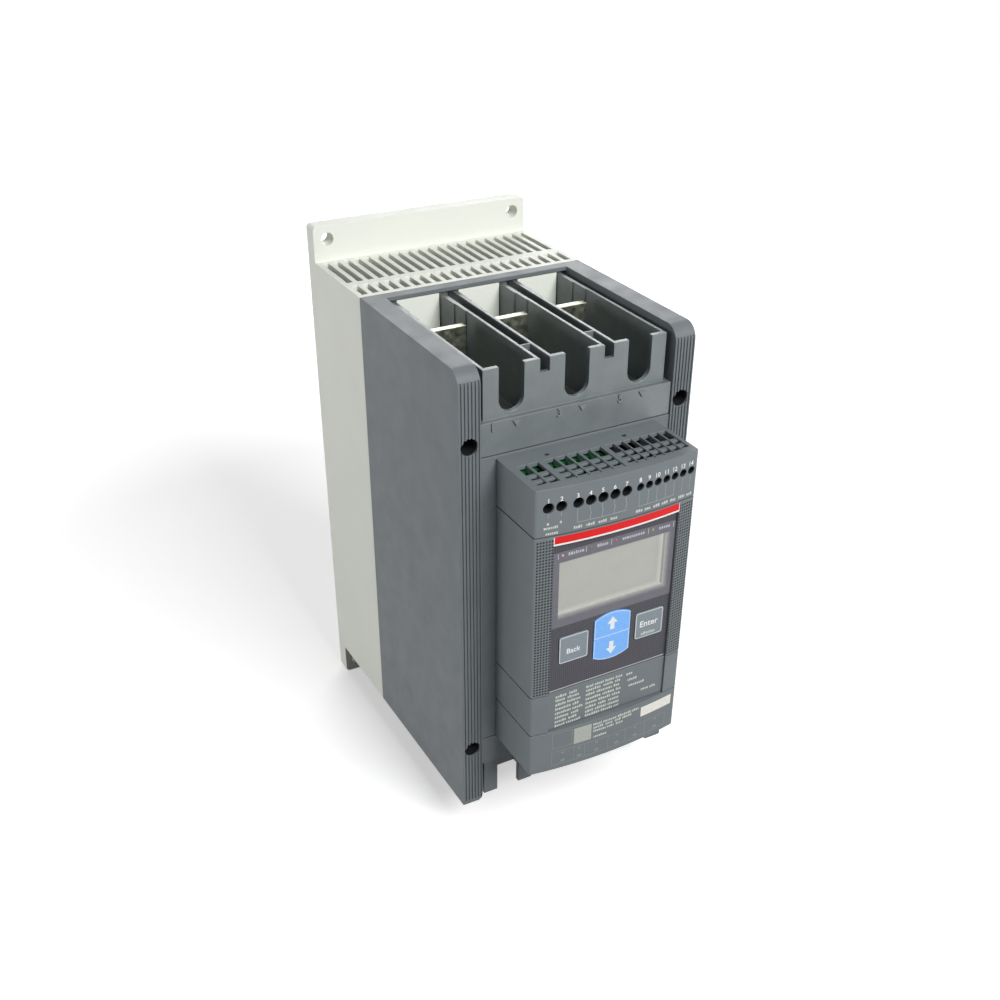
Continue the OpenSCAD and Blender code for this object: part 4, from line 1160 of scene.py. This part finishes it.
def add_camera():
    """Camera at the photograph's place."""
    lens = bpy.data.cameras.new("camera")
    lens.sensor_width = SENSOR_MM
    lens.lens = FOCAL_PIXELS / FRAME_PIXELS * lens.sensor_width
    lens.shift_x = (FRAME_PIXELS / 2 - CENTRE_PIXEL[0]) / FRAME_PIXELS
    lens.shift_y = (CENTRE_PIXEL[1] - FRAME_PIXELS / 2) / FRAME_PIXELS
    lens.clip_start = NEAR_CLIP
    camera = bpy.data.objects.new("camera", lens)
    camera.location = CAMERA_PLACE
    camera.rotation_euler = [math.radians(a) for a in CAMERA_TURN]
    bpy.context.scene.collection.objects.link(camera)
    bpy.context.scene.camera = camera


# Studio: a world and a floor that show as white, and three soft lights.
# A light has its name, place, size and power.
AMBIENT = 0.14
BOUNCE = 0.2
SHOWN = 0.8
GLOW_NEAR = 0.44
GLOW_FAR = 1.0
GLOW_REACH = (0.35, 1.0)
FLOOR_SIZE = 3.2
FLOOR_GAP = 0.0005
TARGET = (0, -0.1, 0)
LIGHTS = (
    ("key_light", (0.2, -1.35, 1.0), 0.7, 25.8),
    ("left_fill", (-1.7, 0.1, 0.15), 0.8, 13.5),
    ("rim_light", (0.55, 0.95, 0.55), 0.7, 5.5),
)


def seen_ray(tree):
    """1 for rays that show the background: camera, glossy and transmitted ones."""
    rays = tree.nodes.new("ShaderNodeLightPath")
    total = rays.outputs["Is Camera Ray"]
    for name in ("Is Glossy Ray", "Is Transmission Ray"):
        most = tree.nodes.new("ShaderNodeMath")
        most.operation = "MAXIMUM"
        tree.links.new(total, most.inputs[0])
        tree.links.new(rays.outputs[name], most.inputs[1])
        total = most.outputs[0]
    return total


def add_world():
    """White background that throws little light."""
    world = bpy.data.worlds.new("studio")
    world.use_nodes = True
    bpy.context.scene.world = world
    tree = world.node_tree
    background = tree.nodes["Background"]
    background.inputs["Color"].default_value = (1, 1, 1, 1)
    strength = remap(tree, seen_ray(tree), AMBIENT, 1.0, 0, 1)
    tree.links.new(strength, background.inputs["Strength"])


def floor_material():
    """White floor that shows as white, takes the shadow and throws little light back."""
    made = bpy.data.materials.new("floor")
    made.use_nodes = True
    tree = made.node_tree
    tree.nodes.clear()
    out = tree.nodes.new("ShaderNodeOutputMaterial")
    dull = tree.nodes.new("ShaderNodeBsdfDiffuse")
    dull.inputs["Color"].default_value = (BOUNCE, BOUNCE, BOUNCE, 1)
    matt = tree.nodes.new("ShaderNodeBsdfDiffuse")
    matt.inputs["Color"].default_value = (SHOWN, SHOWN, SHOWN, 1)
    glow = tree.nodes.new("ShaderNodeEmission")
    place = tree.nodes.new("ShaderNodeTexCoord").outputs["Object"]
    reach = tree.nodes.new("ShaderNodeVectorMath")
    reach.operation = "LENGTH"
    tree.links.new(place, reach.inputs[0])
    level = remap(tree, reach.outputs["Value"], GLOW_NEAR, GLOW_FAR, *GLOW_REACH)
    tree.links.new(level, glow.inputs["Strength"])
    both = tree.nodes.new("ShaderNodeAddShader")
    tree.links.new(matt.outputs[0], both.inputs[0])
    tree.links.new(glow.outputs[0], both.inputs[1])
    pick = tree.nodes.new("ShaderNodeMixShader")
    tree.links.new(seen_ray(tree), pick.inputs[0])
    tree.links.new(dull.outputs[0], pick.inputs[1])
    tree.links.new(both.outputs[0], pick.inputs[2])
    tree.links.new(pick.outputs[0], out.inputs["Surface"])
    return made


def add_floor():
    """Square floor just under the object."""
    half = FLOOR_SIZE / 2
    z = cad_low.z - FLOOR_GAP
    corners = [(-half, -half, z), (half, -half, z), (half, half, z), (-half, half, z)]
    mesh = bpy.data.meshes.new("floor")
    mesh.from_pydata(corners, [], [(0, 1, 2, 3)])
    mesh.materials.append(floor_material())
    floor = bpy.data.objects.new("floor", mesh)
    bpy.context.scene.collection.objects.link(floor)


def softbox(name, place, size, power):
    """Square soft light that faces the object."""
    data = bpy.data.lights.new(name, "AREA")
    data.shape = "SQUARE"
    data.size = size
    data.energy = power
    made = bpy.data.objects.new(name, data)
    made.location = place
    made.rotation_euler = (Vector(TARGET) - Vector(place)).to_track_quat("-Z", "Y").to_euler()
    bpy.context.scene.collection.objects.link(made)


add_camera()
add_world()
add_floor()
for light in LIGHTS:
    softbox(*light)

bpy.context.scene.view_settings.view_transform = "Standard"
